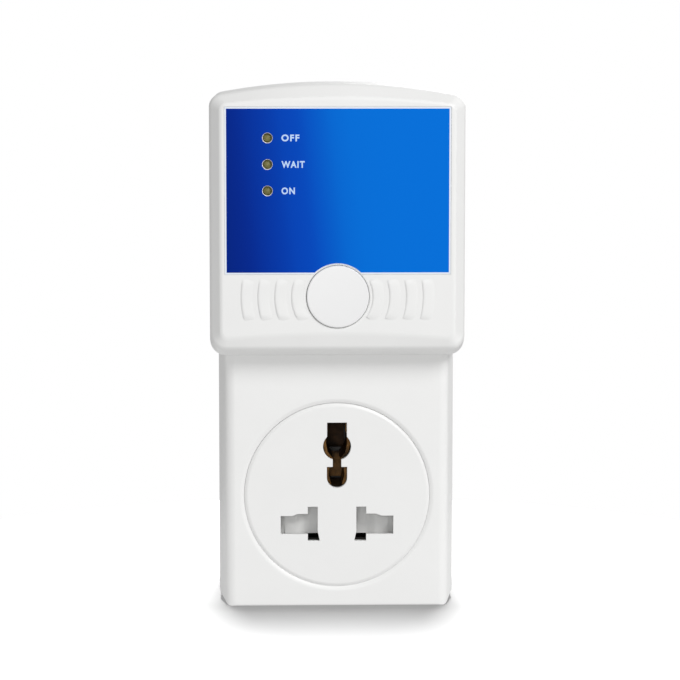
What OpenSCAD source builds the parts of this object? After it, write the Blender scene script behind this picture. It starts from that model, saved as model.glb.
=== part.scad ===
// Plug-through appliance voltage protector: a stepped white body with a label, three lamps and a round
// button on its head, a shuttered universal socket on its lower front and a fused three-pin plug behind.
// Millimetres, +Z up. The body stands on z = 0, its front faces -Y, and y = 0 is halfway through the
// depth of the lower body.

/* [Housing] */
// Width of the lower body, which carries the socket
lower_w = 61.4; // [61:0.1:66]
// Depth of the lower body, from its front face to the wall face
lower_depth = 42; // [41.5:0.5:48]
// Width of the head, which carries the label and the button
head_w = 65.4; // [65:0.1:72]
// Height of the whole body
body_h = 135.8; // [134:0.2:142]
// Height at which the head starts, as a share of the body's height
head_share = 0.48233; // [0.48:0.00001:0.49]
// How far the head stands out in front of the lower body
head_overhang = 8.5; // [8:0.1:12]
// Thickness of the moulded walls
wall = 2.2; // [1.8:0.1:2.4]
// Thickness of the wall behind the plug
back_wall = 2.5; // [2:0.1:3]
// Depth of the rear housing, from the parting line to the wall face
rear_depth = 15; // [14:0.5:16]
// Radius of the arched top
crown_r = 167; // [150:1:260]
// Radius of the head's upper corners
head_corner_r = 3.3; // [2.6:0.1:5]
// Radius of the head's lower corners
head_foot_r = 4.1; // [3:0.1:5]
// Radius of the lower body's bottom corners
lower_corner_r = 4.2; // [3:0.1:5]
// Radius along the lower body's front edges
lower_edge_r = 3.5; // [2.5:0.1:3.5]
// Radius along the edges next to the wall
rear_edge_r = 2; // [1:0.1:2.4]

/* [Head face] */
// Slope beside the head's front face
face_side = 2.85; // [2:0.05:3.4]
// Slope above the head's front face
face_top = 3.6; // [3:0.1:4.5]
// Slope below the head's front face
face_foot = 3.8; // [3:0.1:4.2]
// Depth of the slopes round the front face
face_depth = 4; // [3:0.1:4.5]
// Drop of the second slope, down to the lower body
second_drop = 2.5; // [2:0.1:3]
// Depth of the second slope
second_depth = 4; // [3:0.1:4.4]
// Radius of the front face's upper edge
face_crown_r = 263; // [200:1:400]
// Radius of the front face's corners
face_corner_r = 1.8; // [1:0.1:2.5]
// Rise of the front face's lower edge at its middle
face_foot_rise = 1; // [0.5:0.1:1.5]

/* [Label and lamps] */
// Width of the label
label_w = 56.6; // [54:0.1:57]
// Distance from the head's foot to the label
label_foot = 22.4; // [22:0.1:22.7]
// Distance from the label to the top of the body
label_head = 6.3; // [5.8:0.1:8]
// Thickness of the label
label_t = 0.25; // [0.1:0.05:0.4]
// Depth of the recess for the label
label_recess = 0.3; // [0.25:0.05:0.5]
// Radius of a lamp's dome
lamp_r = 1.5; // [1.3:0.1:1.7]
// Distance from the middle of the head to the lamps
lamp_x = 17.85; // [17:0.05:18.5]
// Height of the middle lamp on the label, as a share of the label's height
lamp_share = 0.661; // [0.63:0.001:0.67]
// Distance from lamp to lamp, as a share of the label's height
lamp_pitch_share = 0.161; // [0.15:0.001:0.165]
// Depth of the lamps' tips below the front face
lamp_sink = 0.6; // [0.3:0.1:1]

/* [Button] */
// Radius of the round button
button_r = 7.85; // [7:0.05:8]
// Height of the button's centre above the head's foot
button_rise = 16.25; // [16.1:0.05:17]
// How far the button stands out of the face
button_proud = 0.6; // [0.3:0.1:1.5]
// Gap all round the button
button_gap = 0.4; // [0.3:0.05:0.6]
// Travel of the button
button_travel = 1.5; // [0.8:0.1:1.8]
// Number of ribs on each side of the button
rib_count = 4; // [1:1:4]
// Width of a rib
rib_w = 3; // [2:0.1:3.4]
// Distance from rib to rib
rib_pitch = 4.2; // [3.8:0.1:4.4]
// Height of a rib above the face
rib_h = 0.35; // [0.2:0.05:0.6]
// Length of the band that the ribs fill
rib_band = 10.4; // [8:0.1:11]

/* [Socket] */
// Radius of the round socket face
disc_r = 23.75; // [23:0.05:24]
// Height of the socket face's centre
disc_z = 29.4; // [29:0.1:31]
// Gap round the socket face
disc_gap = 0.25; // [0.15:0.05:0.4]
// Chamfer on each side of the ring groove
disc_chamfer = 0.35; // [0.2:0.05:0.5]
// Thickness of the socket face, with its flange
disc_t = 4.5; // [4.3:0.1:5]
// Height of the line through the two lower pins
line_z = 21.3; // [21:0.1:22]
// Distance from that line's pin centres to the middle
pin_x = 11.1; // [11:0.01:11.2]
// Height of the earth pin above the line
earth_rise = 22.23; // [22:0.01:22.4]
// Thickness of the shutter
shutter_t = 2.2; // [1.8:0.1:2.4]
// Height of the shutter
shutter_h = 8.2; // [8:0.1:8.6]
// Travel of the shutter
shutter_travel = 9.3; // [9:0.1:9.6]
// Depth of the socket, from its face to the back of its base
socket_depth = 22; // [21.5:0.1:22.5]
// Thickness of the contact leaves
leaf_t = 0.8; // [0.5:0.05:1]
// Gap between the contact leaves
leaf_gap = 4.6; // [4.5:0.05:5]

/* [Plug] */
// Width of a line pin
line_pin_w = 6.35; // [6.3:0.01:6.4]
// Thickness of all the pins
pin_t = 4; // [3.95:0.01:4.05]
// Length of a line pin beyond the wall face
line_pin_l = 17.7; // [17.5:0.1:18.2]
// Width of the earth pin
earth_pin_w = 8; // [7.9:0.01:8.1]
// Length of the earth pin beyond the wall face
earth_pin_l = 22.7; // [22.2:0.1:23.2]
// Length of the sleeve on a line pin
sleeve_l = 9; // [8:0.1:9.5]
// Thickness of the sleeve's wall
sleeve_t = 0.5; // [0.3:0.05:0.6]
// Radius of the fuse's end caps
fuse_r = 3.17; // [3.1:0.01:3.2]
// Length of the fuse
fuse_l = 25.4; // [25:0.1:26]

/* [Circuit board] */
// Gap between each side of the circuit board and the head's side
board_side = 9.7; // [8.7:0.1:10.2]
// Distance from the circuit board to the top of the body
board_head = 6.3; // [6:0.1:8]
// Thickness of the circuit board
board_t = 1.6; // [1:0.1:2]
// Height of the board's lower edge above the head's foot
board_foot = 8; // [7.5:0.1:8.5]
// Depth from the head's front face to the board
board_back = 12.5; // [12:0.1:13]

/* [Hidden] */
$fn = 64;

// Steps along a corner, along the arched edges and along a rounded front edge
corner_steps = 6;
crown_steps = 16;
edge_steps = 3;
// Thickness of the thin slices that a hull joins
skin = 0.05;
// How far a cut runs past what it cuts
overrun = 0.6;
// Gap between pieces that are slid into each other, and between pieces that move past each other
fit = 0.1;
slide_gap = 0.2;

// Heights in the head
head_z = body_h * head_share;
label_z = head_z + label_foot;
label_h = body_h - label_head - label_z;
lamp_z = label_z + lamp_share * label_h;
lamp_pitch = lamp_pitch_share * label_h;
button_z = head_z + button_rise;

// Planes along Y
front_y = -lower_depth / 2;
wall_y = lower_depth / 2;
face_y = front_y - head_overhang;
bevel_y = face_y + face_depth;
seat_y = bevel_y + second_depth;
part_y = wall_y - rear_depth;
back_inner_y = wall_y - back_wall;
face_inner_y = face_y + wall;
front_inner_y = front_y + wall;

// Sizes of the shells
head_half = head_w / 2;
lower_half = lower_w / 2;
lower_top_z = head_z + 2 * wall;
lower_foot_r = 2.3;
min_corner_r = 0.6;
slope_wall_share = 0.45;
bevel_wall_share = 0.7;
tongue_l = 2;
tongue_gap = 0.15;

// Screws and bosses that join the two housings
boss_r = 3.3;
boss_bite = 0.2;
boss_l = 14;
screw_r = 1.4;
screw_head_r = 2.8;
screw_head_t = 1.8;
screw_cross_w = 0.7;
screw_cross_l = 3.2;
screw_cross_t = 0.8;
pilot_gap = 0.05;
tube_floor_t = 3;
housing_boss_places = [
    for (side = [-1, 1]) [side * (lower_half - wall - boss_r + boss_bite), wall + boss_r - boss_bite],
    for (side = [-1, 1]) [side * (head_half - wall - boss_r + boss_bite),
        body_h - wall - boss_r - head_corner_r - fit * 2]
];

// Board size and place, and its bosses
board_w = head_w - 2 * board_side;
board_z = head_z + board_foot;
board_h = body_h - board_head - board_z;
board_y = face_y + board_back;
board_rear_y = board_y + board_t;
board_boss_r = 2.8;
board_screw_r = 1;
board_screw_head_r = 2;
board_screw_head_t = 1.4;
board_screw_l = 7;
board_boss_shares = [[-0.425, 0.07], [0.425, 0.07], [-0.218, 0.945], [0.218, 0.945]];
function board_place(share) = [share[0] * board_w, board_z + share[1] * board_h];

// Button, its spring and its switch
flange_t = 1.2;
flange_extra = 0.75;
stem_r = 2.5;
button_edge_r = 0.3;
button_stop_y = face_inner_y + fit;
button_back_y = button_stop_y + flange_t;
switch_w = 5.6;
switch_h = 4;
plunger_r = 1.7;
plunger_l = 3;
plunger_proud = 2;
plunger_tip_y = board_y - switch_h - plunger_proud;
button_coil_r = 4.7;
button_wire_r = 0.3;
button_turns = 5;

// Lamps
lamp_flange_r = 1.9;
lamp_flange_t = 1;
lamp_l = 5.3;
lamp_hole_r = lamp_r + fit;
lamp_tip_y = face_y + lamp_sink;
lamp_back_y = lamp_tip_y + lamp_l;
lead_pitch = 2.54;
lead_r = 0.27;
lead_tail = 1;
spacer_w = 5.1;
spacer_margin = 2.2;

// Outline of the line apertures, seen from the front on the right side
slot_h = 4.76;
slot_in_x = 7.58;
slot_out_x = 14.64;
round_x = 9.5;
round_r = 2.65;
round_rise = 0.5;
blade_in_x = 5.05;
blade_slant_x = 4.53;
blade_slant_h = 2.2;
blade_up = 4.79;
blade_down = 3.87;

// Outline of the earth aperture, as heights above the line
earth_top_rise = 26.86;
earth_slot_w = 5.1;
earth_round_r = 3.62;
earth_round_rise = 20.6;
earth_neck_w = 2.2;
earth_tail_r = 2.62;
earth_tail_top_rise = 15.25;
earth_tail_rise = 12.4;

// Socket base and what it holds
disc_front_t = wall;
disc_flange_extra = 1.25;
disc_flange_r = disc_r + disc_flange_extra;
disc_rear_y = front_y + disc_t;
base_half = 17.5;
base_back_y = front_y + socket_depth;
base_drop = 16.9;
base_rise = 29.1;
base_foot_z = line_z - base_drop;
base_top_z = line_z + base_rise;
base_skin = 1.6;
ear_half = 27;
ear_t = 2.5;
ear_span = 34;
base_screw_x = 24;
base_screw_dz = 15.2;
base_boss_r = 2.6;
base_screw_l = 5.4;
pocket_in_x = 4.1;
pocket_out_x = 15.8;
pocket_up = 5.3;
pocket_down = 4.6;
pocket_depth = socket_depth - base_skin;
earth_pocket_half = 4.6;
earth_pocket_foot = 9.3;
earth_pocket_top = 27.5;
earth_through_foot = 17.6;
shutter_half = 15.4;
shutter_drop = 2.9;
shutter_foot_z = line_z - shutter_drop;
shutter_y = disc_rear_y + fit;
shutter_slope = 1.3;
shutter_slope_h = 5.6;
shutter_pocket_t = shutter_t + 2 * fit + slide_gap;
shutter_spring_least = 3.5;
shutter_seat_z = shutter_foot_z - shutter_travel - shutter_spring_least;
shutter_coil_r = 0.95;
shutter_wire_r = 0.2;
shutter_turns = 7;
spring_well_r = 1.9;

// Contacts: lengths along Y and the widths of their leaves and tails
leaf_start = 0.6;
leaf_depth = 20.2;
leaf_front_y = disc_rear_y + shutter_pocket_t + leaf_start;
leaf_back_y = front_y + leaf_depth;
leaf_w = 8;
leaf_lip = 0.7;
leaf_lip_l = 1.6;
tail_w = 5;
tail_l = 4.8;

// Plug pins, their carrier and the fuse
pin_flange_extra = 1;
pin_flange_t = 2;
pin_tip = 0.9;
carrier_gap = 1.5;
carrier_y = part_y + carrier_gap;
carrier_rear_y = back_inner_y - pin_flange_t;
carrier_half = 19;
carrier_drop = 7;
carrier_head = 6;
carrier_foot_z = line_z - carrier_drop;
carrier_top_z = line_z + earth_rise + carrier_head;
carrier_screw_x = 15.3;
carrier_screw_rise = 19.5;
carrier_post_r = 2.6;
carrier_screw_l = 11.6;
earth_z = line_z + earth_rise;
fuse_rise = 10.1;
fuse_z = line_z + fuse_rise;
fuse_cap_l = 6.2;
fuse_cap_t = 0.5;
fuse_cap_wall = 0.27;
fuse_tube_r = fuse_r - fuse_cap_wall;
clip_t = 0.6;
clip_w = 5.5;
clip_x = 9.5;
clip_l = 7.5;
clip_gap = 0.1;
fuse_depth = 5.5;
fuse_y = carrier_y + fuse_depth;
drawer_half = 14;
drawer_up = 4.2;
drawer_plate_t = 1.7;
drawer_arm_half = 6;
drawer_wrap = 1.4;
drawer_grip_w = 9;
drawer_grip_h = 2;
drawer_grip_t = 1;
strap_t = 0.8;

// Wires: radius, size of a bend as a share of it, and how far their ends stand from the board's edge
wire_r = 0.9;
wire_knee_share = 1.03;
wire_rise = 2.7;
wire_back = 4;

// Relay, on the board's rear face
relay_w = 0.2783 * board_w;
relay_l = 0.5179 * board_h;
relay_h = 16;
relay_side = 1.6;
relay_place_share = 0.31;
relay_base_t = 2;
relay_skin = 0.8;
relay_coil_r = 3.6;
relay_core_r = 1.8;
relay_coil_l = 0.4483 * relay_l;
relay_coil_start = 5;
relay_flange_t = 0.8;
relay_iron_t = 1.3;
relay_iron_w = 7.6;
relay_gap = 0.8;
relay_blade_t = 0.4;
relay_blade_l = 5;
relay_point_r = 1.2;
relay_point_t = 0.5;

// Other parts on the board's rear face, with their places as shares of the board
trafo_w = 0.56 * board_w;
trafo_l = 0.4107 * board_h;
trafo_core_h = 9;
trafo_h = 20;
trafo_limb_w = 6;
trafo_edge_w = 3.2;
trafo_gap = 0.3;
trafo_place_share = 0.678;
trafo_x = -lamp_x + lead_pitch / 2 + lead_r + trafo_w / 2 - trafo_edge_w;
film_cap_w = 0.3913 * board_w;
film_cap_l = 0.1518 * board_h;
film_cap_h = 14.5;
film_cap_share = [-0.26, 0.345];
film_cap_lip = 0.5;
can_r = 0.0714 * board_h;
can_h = 12;
can_share = [0.065, 0.35];
can_groove = 0.35;
can_groove_share = 0.2;
varistor_r = 0.1087 * board_w;
varistor_t = 0.0714 * board_h;
varistor_share = [-0.33, 0.17];
chip_w = 0.213 * board_w;
chip_l = 0.1143 * board_h;
chip_h = 3.3;
chip_share = [0.15, 0.175];
chip_foot_w = 1;
chip_foot_t = 0.5;
chip_feet = 4;
chip_foot_pitch = 0.0552 * board_w;
resistor_r = 0.0196 * board_h;
resistor_l = 0.137 * board_w;
resistor_count = 4;
resistor_pitch = 0.0464 * board_h;
resistor_share = [0.37, 0.142];
diode_r = 0.026 * board_w;
diode_l = 0.0893 * board_h;
diode_count = 4;
diode_pitch = 0.063 * board_w;
diode_share = [-0.178, 0.175];
wire_shares = [-0.26, -0.13, 0.13];

// Block between two corners, given as spans along X, Y and Z
module block(x, y, z) {
    translate([x[0], y[0], z[0]])
        cube([x[1] - x[0], y[1] - y[0], z[1] - z[0]]);
}

// Flat shape drawn in X and Z, carried along Y from y[0] to y[1]
module slab(y) {
    translate([0, y[1], 0])
        rotate([90, 0, 0])
            linear_extrude(y[1] - y[0])
                children();
}

// Round bar along Y
module bar(r, y, x = 0, z = 0) {
    translate([x, y[0], z])
        rotate([-90, 0, 0])
            cylinder(r = r, h = y[1] - y[0]);
}

// Round bar along X
module cross_bar(r, x, y, z) {
    translate([x[0], y, z])
        rotate([0, 90, 0])
            cylinder(r = r, h = x[1] - x[0]);
}

// Points of an arc, both ends included
function arc_points(x, z, r, from, to, steps) =
    [for (i = [0:steps]) let(a = from + (to - from) * i / steps) [x + r * cos(a), z + r * sin(a)]];

// Outline of the head: arched top, round corners and a foot that may rise in the middle
function head_points(half, top, arch_r, corner_r, foot, foot_rise, foot_r) =
    let(
        arch_z = top - arch_r,
        corner_x = half - corner_r,
        corner_z = arch_z + sqrt(pow(arch_r - corner_r, 2) - pow(corner_x, 2)),
        lean = atan2(corner_z - arch_z, corner_x),
        foot_x = half - foot_r
    )
    concat(
        arc_points(corner_x, corner_z, corner_r, 0, lean, corner_steps),
        [for (i = [1:crown_steps - 1]) let(a = lean + (180 - 2 * lean) * i / crown_steps)
            [arch_r * cos(a), arch_z + arch_r * sin(a)]],
        arc_points(-corner_x, corner_z, corner_r, 180 - lean, 180, corner_steps),
        arc_points(-foot_x, foot + foot_r, foot_r, 180, 270, corner_steps),
        [for (i = [1:foot_rise == 0 ? 0 : crown_steps - 1]) let(s = 2 * i / crown_steps - 1)
            [s * foot_x, foot + foot_rise * (1 - s * s)]],
        arc_points(foot_x, foot + foot_r, foot_r, 270, 360, corner_steps)
    );

// Outline of the lower body: round bottom corners, and a top that ends inside the head
function lower_points(side_inset, foot_inset) =
    let(half = lower_half - side_inset, r = max(min_corner_r, lower_corner_r - side_inset))
    concat(
        [[half, lower_top_z], [-half, lower_top_z]],
        arc_points(-half + r, foot_inset + r, r, 180, 270, corner_steps),
        arc_points(half - r, foot_inset + r, r, 270, 360, corner_steps)
    );

// Full outline of the head, drawn in by an inset
module head_outline(inset = 0, foot = head_z) {
    polygon(head_points(head_half - inset, body_h - inset, crown_r - inset,
        max(min_corner_r, head_corner_r - inset), foot + inset, 0, max(min_corner_r, head_foot_r - inset)));
}

// Outline of the head's front face, drawn in by an inset
module face_outline(inset = 0) {
    polygon(head_points(head_half - face_side - inset, body_h - face_top - inset, face_crown_r - inset,
        max(min_corner_r, face_corner_r - inset), head_z + second_drop + face_foot - face_foot_rise + inset,
        face_foot_rise, max(min_corner_r, face_corner_r - inset)));
}

// Outline of the whole body, drawn in by an inset
module body_outline(inset = 0) {
    head_outline(inset);
    polygon(lower_points(inset, inset));
}

// Front of the head, from the face over both slopes: outside with depth 0, inside with depth 1
module head_front(depth) {
    hull() {
        slab([face_y + depth * wall, face_y + depth * wall + skin])
            face_outline(depth * wall * slope_wall_share);
        slab([bevel_y + depth * wall * bevel_wall_share, bevel_y + depth * wall * bevel_wall_share + skin])
            head_outline(depth * wall, head_z + second_drop);
        slab([seat_y + depth * wall * bevel_wall_share, seat_y + depth * wall * bevel_wall_share + skin])
            head_outline(depth * wall);
    }
}

// Front of the lower body, with its edges rounded in a few steps
module lower_front() {
    hull()
        for (i = [0:edge_steps]) let(a = 90 * i / edge_steps, y = front_y + lower_edge_r * (1 - cos(a)))
            slab([y, y + skin])
                polygon(lower_points(lower_edge_r * (1 - sin(a)), lower_foot_r * (1 - sin(a))));
}

// Rear edge of the head, or of the lower body, rounded next to the wall
module rear_edge(lower) {
    hull()
        for (i = [0:edge_steps]) let(a = 90 * i / edge_steps, y = wall_y - rear_edge_r * (1 - cos(a)),
            inset = rear_edge_r * (1 - sin(a)))
            slab([y - skin, y])
                if (lower) polygon(lower_points(inset, inset));
                else head_outline(inset);
}

// Holes for the line pins of a plug, both sides
module line_slots() {
    for (side = [0, 1])
        mirror([side, 0, 0]) {
            translate([slot_in_x - skin, line_z - slot_h / 2])
                square([slot_out_x - slot_in_x + skin, slot_h]);
            translate([round_x, line_z + round_rise])
                circle(round_r);
            polygon([
                [blade_in_x, line_z + blade_up], [slot_in_x, line_z + blade_up],
                [slot_in_x, line_z - blade_down], [blade_slant_x, line_z - blade_down],
                [blade_in_x, line_z - blade_down + blade_slant_h]
            ]);
        }
}

// Hole for the earth pin, which takes flat and round pins
module earth_hole() {
    translate([-earth_slot_w / 2, line_z + earth_round_rise])
        square([earth_slot_w, earth_top_rise - earth_round_rise]);
    translate([0, line_z + earth_round_rise])
        circle(earth_round_r);
    translate([-earth_neck_w / 2, line_z + earth_tail_rise])
        square([earth_neck_w, earth_round_rise - earth_tail_rise]);
    translate([0, line_z + earth_tail_rise])
        circle(earth_tail_r);
    translate([-earth_tail_r, line_z + earth_tail_rise])
        square([2 * earth_tail_r, earth_tail_top_rise - earth_tail_rise]);
}

// Round wire that runs through a list of points, with a ball at each bend
module wire_run(points, r) {
    for (i = [0:len(points) - 2]) let(way = points[i + 1] - points[i], l = norm(way))
        translate(points[i])
            rotate([0, acos(way[2] / l), atan2(way[1], way[0])])
                cylinder(r = r, h = l);
    for (i = [1:1:len(points) - 2])
        translate(points[i])
            sphere(r * wire_knee_share);
}

// Coil spring along Z, from 0 to its length, as one unbroken round wire
module coil(coil_r, wire_r, turns, length) {
    rings = turns * 12;
    sides = 6;
    rise = length - 2 * wire_r;
    function ring(i) = let(a = 360 * turns * i / rings)
        [for (k = [0:sides - 1]) let(b = 360 * k / sides, out = coil_r + wire_r * cos(b))
            [out * cos(a), out * sin(a), wire_r + rise * i / rings + wire_r * sin(b)]];
    points = [for (i = [0:rings]) each ring(i)];
    sheath = [for (i = [0:rings - 1]) for (k = [0:sides - 1]) let(n = (k + 1) % sides)
        each [[i * sides + k, i * sides + n, (i + 1) * sides + n],
            [i * sides + k, (i + 1) * sides + n, (i + 1) * sides + k]]];
    first_end = [for (k = [1:sides - 2]) [0, k + 1, k]];
    last = rings * sides;
    last_end = [for (k = [1:sides - 2]) [last, last + k, last + k + 1]];
    polyhedron(points, concat(sheath, first_end, last_end));
}

// Self-tapping screw along Y: its head's back lies at y, and its shank runs towards -Y
module screw(place, y, r, head_r, head_t, l) {
    difference() {
        union() {
            bar(head_r, [y - head_t, y], place[0], place[1]);
            bar(r, [y - head_t - l, y - head_t], place[0], place[1]);
        }
        for (turn = [0, 90])
            translate([place[0], y - screw_cross_t / 2, place[1]])
                rotate([0, turn, 0])
                    cube([screw_cross_l * head_r / screw_head_r, screw_cross_t + skin, screw_cross_w],
                        center = true);
    }
}

module front_housing() {
    color("whitesmoke")
        difference() {
            union() {
                difference() {
                    union() {
                        head_front(0);
                        slab([seat_y, part_y]) head_outline();
                        lower_front();
                        slab([front_y + lower_edge_r, part_y]) polygon(lower_points(0, 0));
                        face_ribs();
                    }
                    head_front(1);
                    slab([seat_y + wall * bevel_wall_share, part_y + overrun]) head_outline(wall);
                    slab([front_inner_y, part_y + overrun]) polygon(lower_points(wall, wall));
                }
                for (place = housing_boss_places)
                    bar(boss_r, [part_y - boss_l, part_y], place[0], place[1]);
                for (share = board_boss_shares) let(place = board_place(share))
                    bar(board_boss_r, [face_inner_y - skin, board_y], place[0], place[1]);
                for (place = base_screw_places())
                    bar(base_boss_r, [front_inner_y - skin, disc_rear_y], place[0], place[1]);
            }
            socket_hole();
            bar(button_r + button_gap, [face_y - overrun, face_inner_y + overrun], 0, button_z);
            for (z = lamp_heights())
                bar(lamp_hole_r, [face_y - overrun, face_inner_y + overrun], -lamp_x, z);
            block([-label_w / 2 - fit, label_w / 2 + fit], [face_y - overrun, face_y + label_recess],
                [label_z - fit, label_z + label_h + fit]);
            for (place = housing_boss_places)
                bar(screw_r + pilot_gap, [part_y - boss_l + tube_floor_t, part_y + overrun],
                    place[0], place[1]);
            for (share = board_boss_shares) let(place = board_place(share))
                bar(board_screw_r + pilot_gap, [board_y - board_screw_l, board_y + overrun],
                    place[0], place[1]);
            for (place = base_screw_places())
                bar(board_screw_r + pilot_gap, [disc_rear_y + ear_t - base_screw_l, disc_rear_y + overrun],
                    place[0], place[1]);
            tongue(0, tongue_l, overrun);
        }
}

// Round hole for the socket face, with its half of the ring groove
module socket_hole() {
    bar(disc_r + disc_gap, [front_y - overrun, front_inner_y + overrun], 0, disc_z);
    translate([0, front_y - overrun, disc_z])
        rotate([-90, 0, 0])
            cylinder(r1 = disc_r + disc_gap + disc_chamfer + overrun, r2 = disc_r + disc_gap,
                h = disc_chamfer + overrun);
}

// Low curved ribs on both sides of the button
module face_ribs() {
    intersection() {
        for (i = [0:rib_count - 1]) let(r = button_r + button_gap + rib_pitch - rib_w / 2 + rib_pitch * i)
            difference() {
                bar(r + rib_w / 2, [face_y - rib_h, face_y + skin], 0, button_z);
                bar(r - rib_w / 2, [face_y - rib_h - overrun, face_y + 2 * skin], 0, button_z);
            }
        block([-head_half, head_half], [face_y - 2 * rib_h, face_y + skin],
            [button_z - button_gap * 2 - rib_band / 2, button_z - button_gap * 2 + rib_band / 2]);
    }
}

// Tongue of the rear housing, or with no gap and an extra reach the rebate that takes it
module tongue(gap, l, extra) {
    slab([part_y - l, part_y + extra])
        difference() {
            body_outline(wall / 2 + gap);
            body_outline(wall);
        }
}

module rear_housing() {
    color("whitesmoke")
        difference() {
            union() {
                difference() {
                    union() {
                        slab([part_y, wall_y - rear_edge_r]) body_outline();
                        rear_edge(false);
                        rear_edge(true);
                    }
                    slab([part_y - overrun, back_inner_y]) body_outline(wall);
                }
                tongue(tongue_gap, tongue_l - slide_gap, skin);
                for (place = housing_boss_places)
                    bar(boss_r + wall / 4, [part_y, back_inner_y + skin], place[0], place[1]);
                for (side = [-1, 1])
                    bar(carrier_post_r, [carrier_rear_y, back_inner_y + skin], side * carrier_screw_x,
                        line_z + carrier_screw_rise);
            }
            for (place = housing_boss_places) {
                bar(screw_r + slide_gap, [part_y - overrun, wall_y], place[0], place[1]);
                bar(screw_head_r + slide_gap, [part_y + tube_floor_t, wall_y + overrun], place[0], place[1]);
            }
            for (side = [-1, 1]) {
                bar(board_screw_r + pilot_gap, [carrier_y, carrier_y + carrier_screw_l + pilot_gap],
                    side * carrier_screw_x, line_z + carrier_screw_rise);
                block([side * pin_x - line_pin_w / 2 - fit, side * pin_x + line_pin_w / 2 + fit],
                    [back_inner_y - overrun, wall_y + overrun],
                    [line_z - pin_t / 2 - fit, line_z + pin_t / 2 + fit]);
            }
            block([-pin_t / 2 - fit, pin_t / 2 + fit], [back_inner_y - overrun, wall_y + overrun],
                [earth_z - earth_pin_w / 2 - fit, earth_z + earth_pin_w / 2 + fit]);
            block([-drawer_half - slide_gap, drawer_half + slide_gap],
                [back_inner_y - overrun, wall_y + overrun],
                [fuse_z - drawer_up - slide_gap, fuse_z + drawer_up + slide_gap]);
        }
}

module label_panel() {
    color("royalblue")
        difference() {
            block([-label_w / 2, label_w / 2], [face_y + label_recess - label_t, face_y + label_recess],
                [label_z, label_z + label_h]);
            bar(button_r + button_gap + slide_gap, [face_y - overrun, face_inner_y], 0, button_z);
            for (z = lamp_heights())
                bar(lamp_hole_r, [face_y - overrun, face_inner_y], -lamp_x, z);
        }
}

// Heights of the three lamps, from the top down
function lamp_heights() = [for (i = [1, 0, -1]) lamp_z + i * lamp_pitch];

module reset_button() {
    color("white") {
        bar(button_r, [face_y - button_proud + button_edge_r, button_stop_y], 0, button_z);
        translate([0, face_y - button_proud, button_z])
            rotate([-90, 0, 0])
                cylinder(r1 = button_r - button_edge_r, r2 = button_r, h = button_edge_r);
        bar(button_r + flange_extra, [button_stop_y, button_back_y], 0, button_z);
        bar(stem_r, [button_back_y, plunger_tip_y - fit / 2], 0, button_z);
    }
}

module button_spring() {
    color("silver")
        translate([0, button_back_y + fit / 2, button_z])
            rotate([-90, 0, 0])
                coil(button_coil_r, button_wire_r, button_turns, board_y - button_back_y - fit);
}

module switch_base() {
    color("dimgray")
        difference() {
            block([-switch_w / 2, switch_w / 2], [board_y - switch_h, board_y],
                [button_z - switch_w / 2, button_z + switch_w / 2]);
            bar(plunger_r + fit, [board_y - switch_h - overrun,
                plunger_tip_y + plunger_l + button_travel + slide_gap], 0, button_z);
        }
}

module switch_plunger() {
    color("black")
        bar(plunger_r, [plunger_tip_y, plunger_tip_y + plunger_l], 0, button_z);
}

// One lamp, with its dome towards the front
module lamp(z) {
    translate([-lamp_x, lamp_tip_y + lamp_r, z]) {
        intersection() {
            sphere(lamp_r);
            block([-lamp_r, lamp_r], [-lamp_r, 0], [-lamp_r, lamp_r]);
        }
        bar(lamp_r, [0, lamp_l - lamp_r]);
        bar(lamp_flange_r, [lamp_l - lamp_r - lamp_flange_t, lamp_l - lamp_r]);
    }
}

module led_off() {
    color("darkkhaki") lamp(lamp_heights()[0]);
}

module led_wait() {
    color("darkkhaki") lamp(lamp_heights()[1]);
}

module led_on() {
    color("darkkhaki") lamp(lamp_heights()[2]);
}

module led_leads() {
    color("silver")
        for (z = lamp_heights(), side = [-1, 1])
            bar(lead_r, [lamp_back_y, board_rear_y + lead_tail], -lamp_x + side * lead_pitch / 2, z);
}

module led_spacer() {
    color("black")
        difference() {
            block([-lamp_x - spacer_w / 2, -lamp_x + spacer_w / 2], [lamp_back_y, board_y],
                [lamp_z - lamp_pitch - spacer_margin, lamp_z + lamp_pitch + spacer_margin]);
            for (z = lamp_heights(), side = [-1, 1])
                bar(lead_r + fit, [lamp_back_y - overrun, board_y + overrun],
                    -lamp_x + side * lead_pitch / 2, z);
        }
}

module main_board() {
    color("darkgreen")
        difference() {
            block([-board_w / 2, board_w / 2], [board_y, board_rear_y], [board_z, board_z + board_h]);
            for (share = board_boss_shares) let(place = board_place(share))
                bar(board_screw_r + slide_gap, [board_y - overrun, board_rear_y + overrun],
                    place[0], place[1]);
            for (z = lamp_heights(), side = [-1, 1])
                bar(lead_r + fit, [board_y - overrun, board_rear_y + overrun],
                    -lamp_x + side * lead_pitch / 2, z);
        }
}

// Frame of the relay: X across it, Y away from the board, Z along it from its lower end
module at_relay() {
    translate([board_w / 2 - relay_side - relay_w / 2, board_rear_y, board_z + relay_place_share * board_h])
        children();
}

// Heights inside the relay, above the board
relay_axis_h = relay_base_t + relay_gap + relay_coil_r + relay_flange_t;
relay_yoke_h = relay_axis_h + relay_coil_r + relay_flange_t;
relay_core_end = relay_coil_start + relay_coil_l;

module relay_base() {
    color("black")
        at_relay()
            block([-relay_w / 2, relay_w / 2], [0, relay_base_t], [0, relay_l]);
}

module relay_cover() {
    color("darkslategray")
        at_relay()
            difference() {
                block([-relay_w / 2, relay_w / 2], [relay_base_t, relay_h], [0, relay_l]);
                block([-relay_w / 2 + relay_skin, relay_w / 2 - relay_skin],
                    [relay_base_t - overrun, relay_h - relay_skin], [relay_skin, relay_l - relay_skin]);
            }
}

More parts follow.
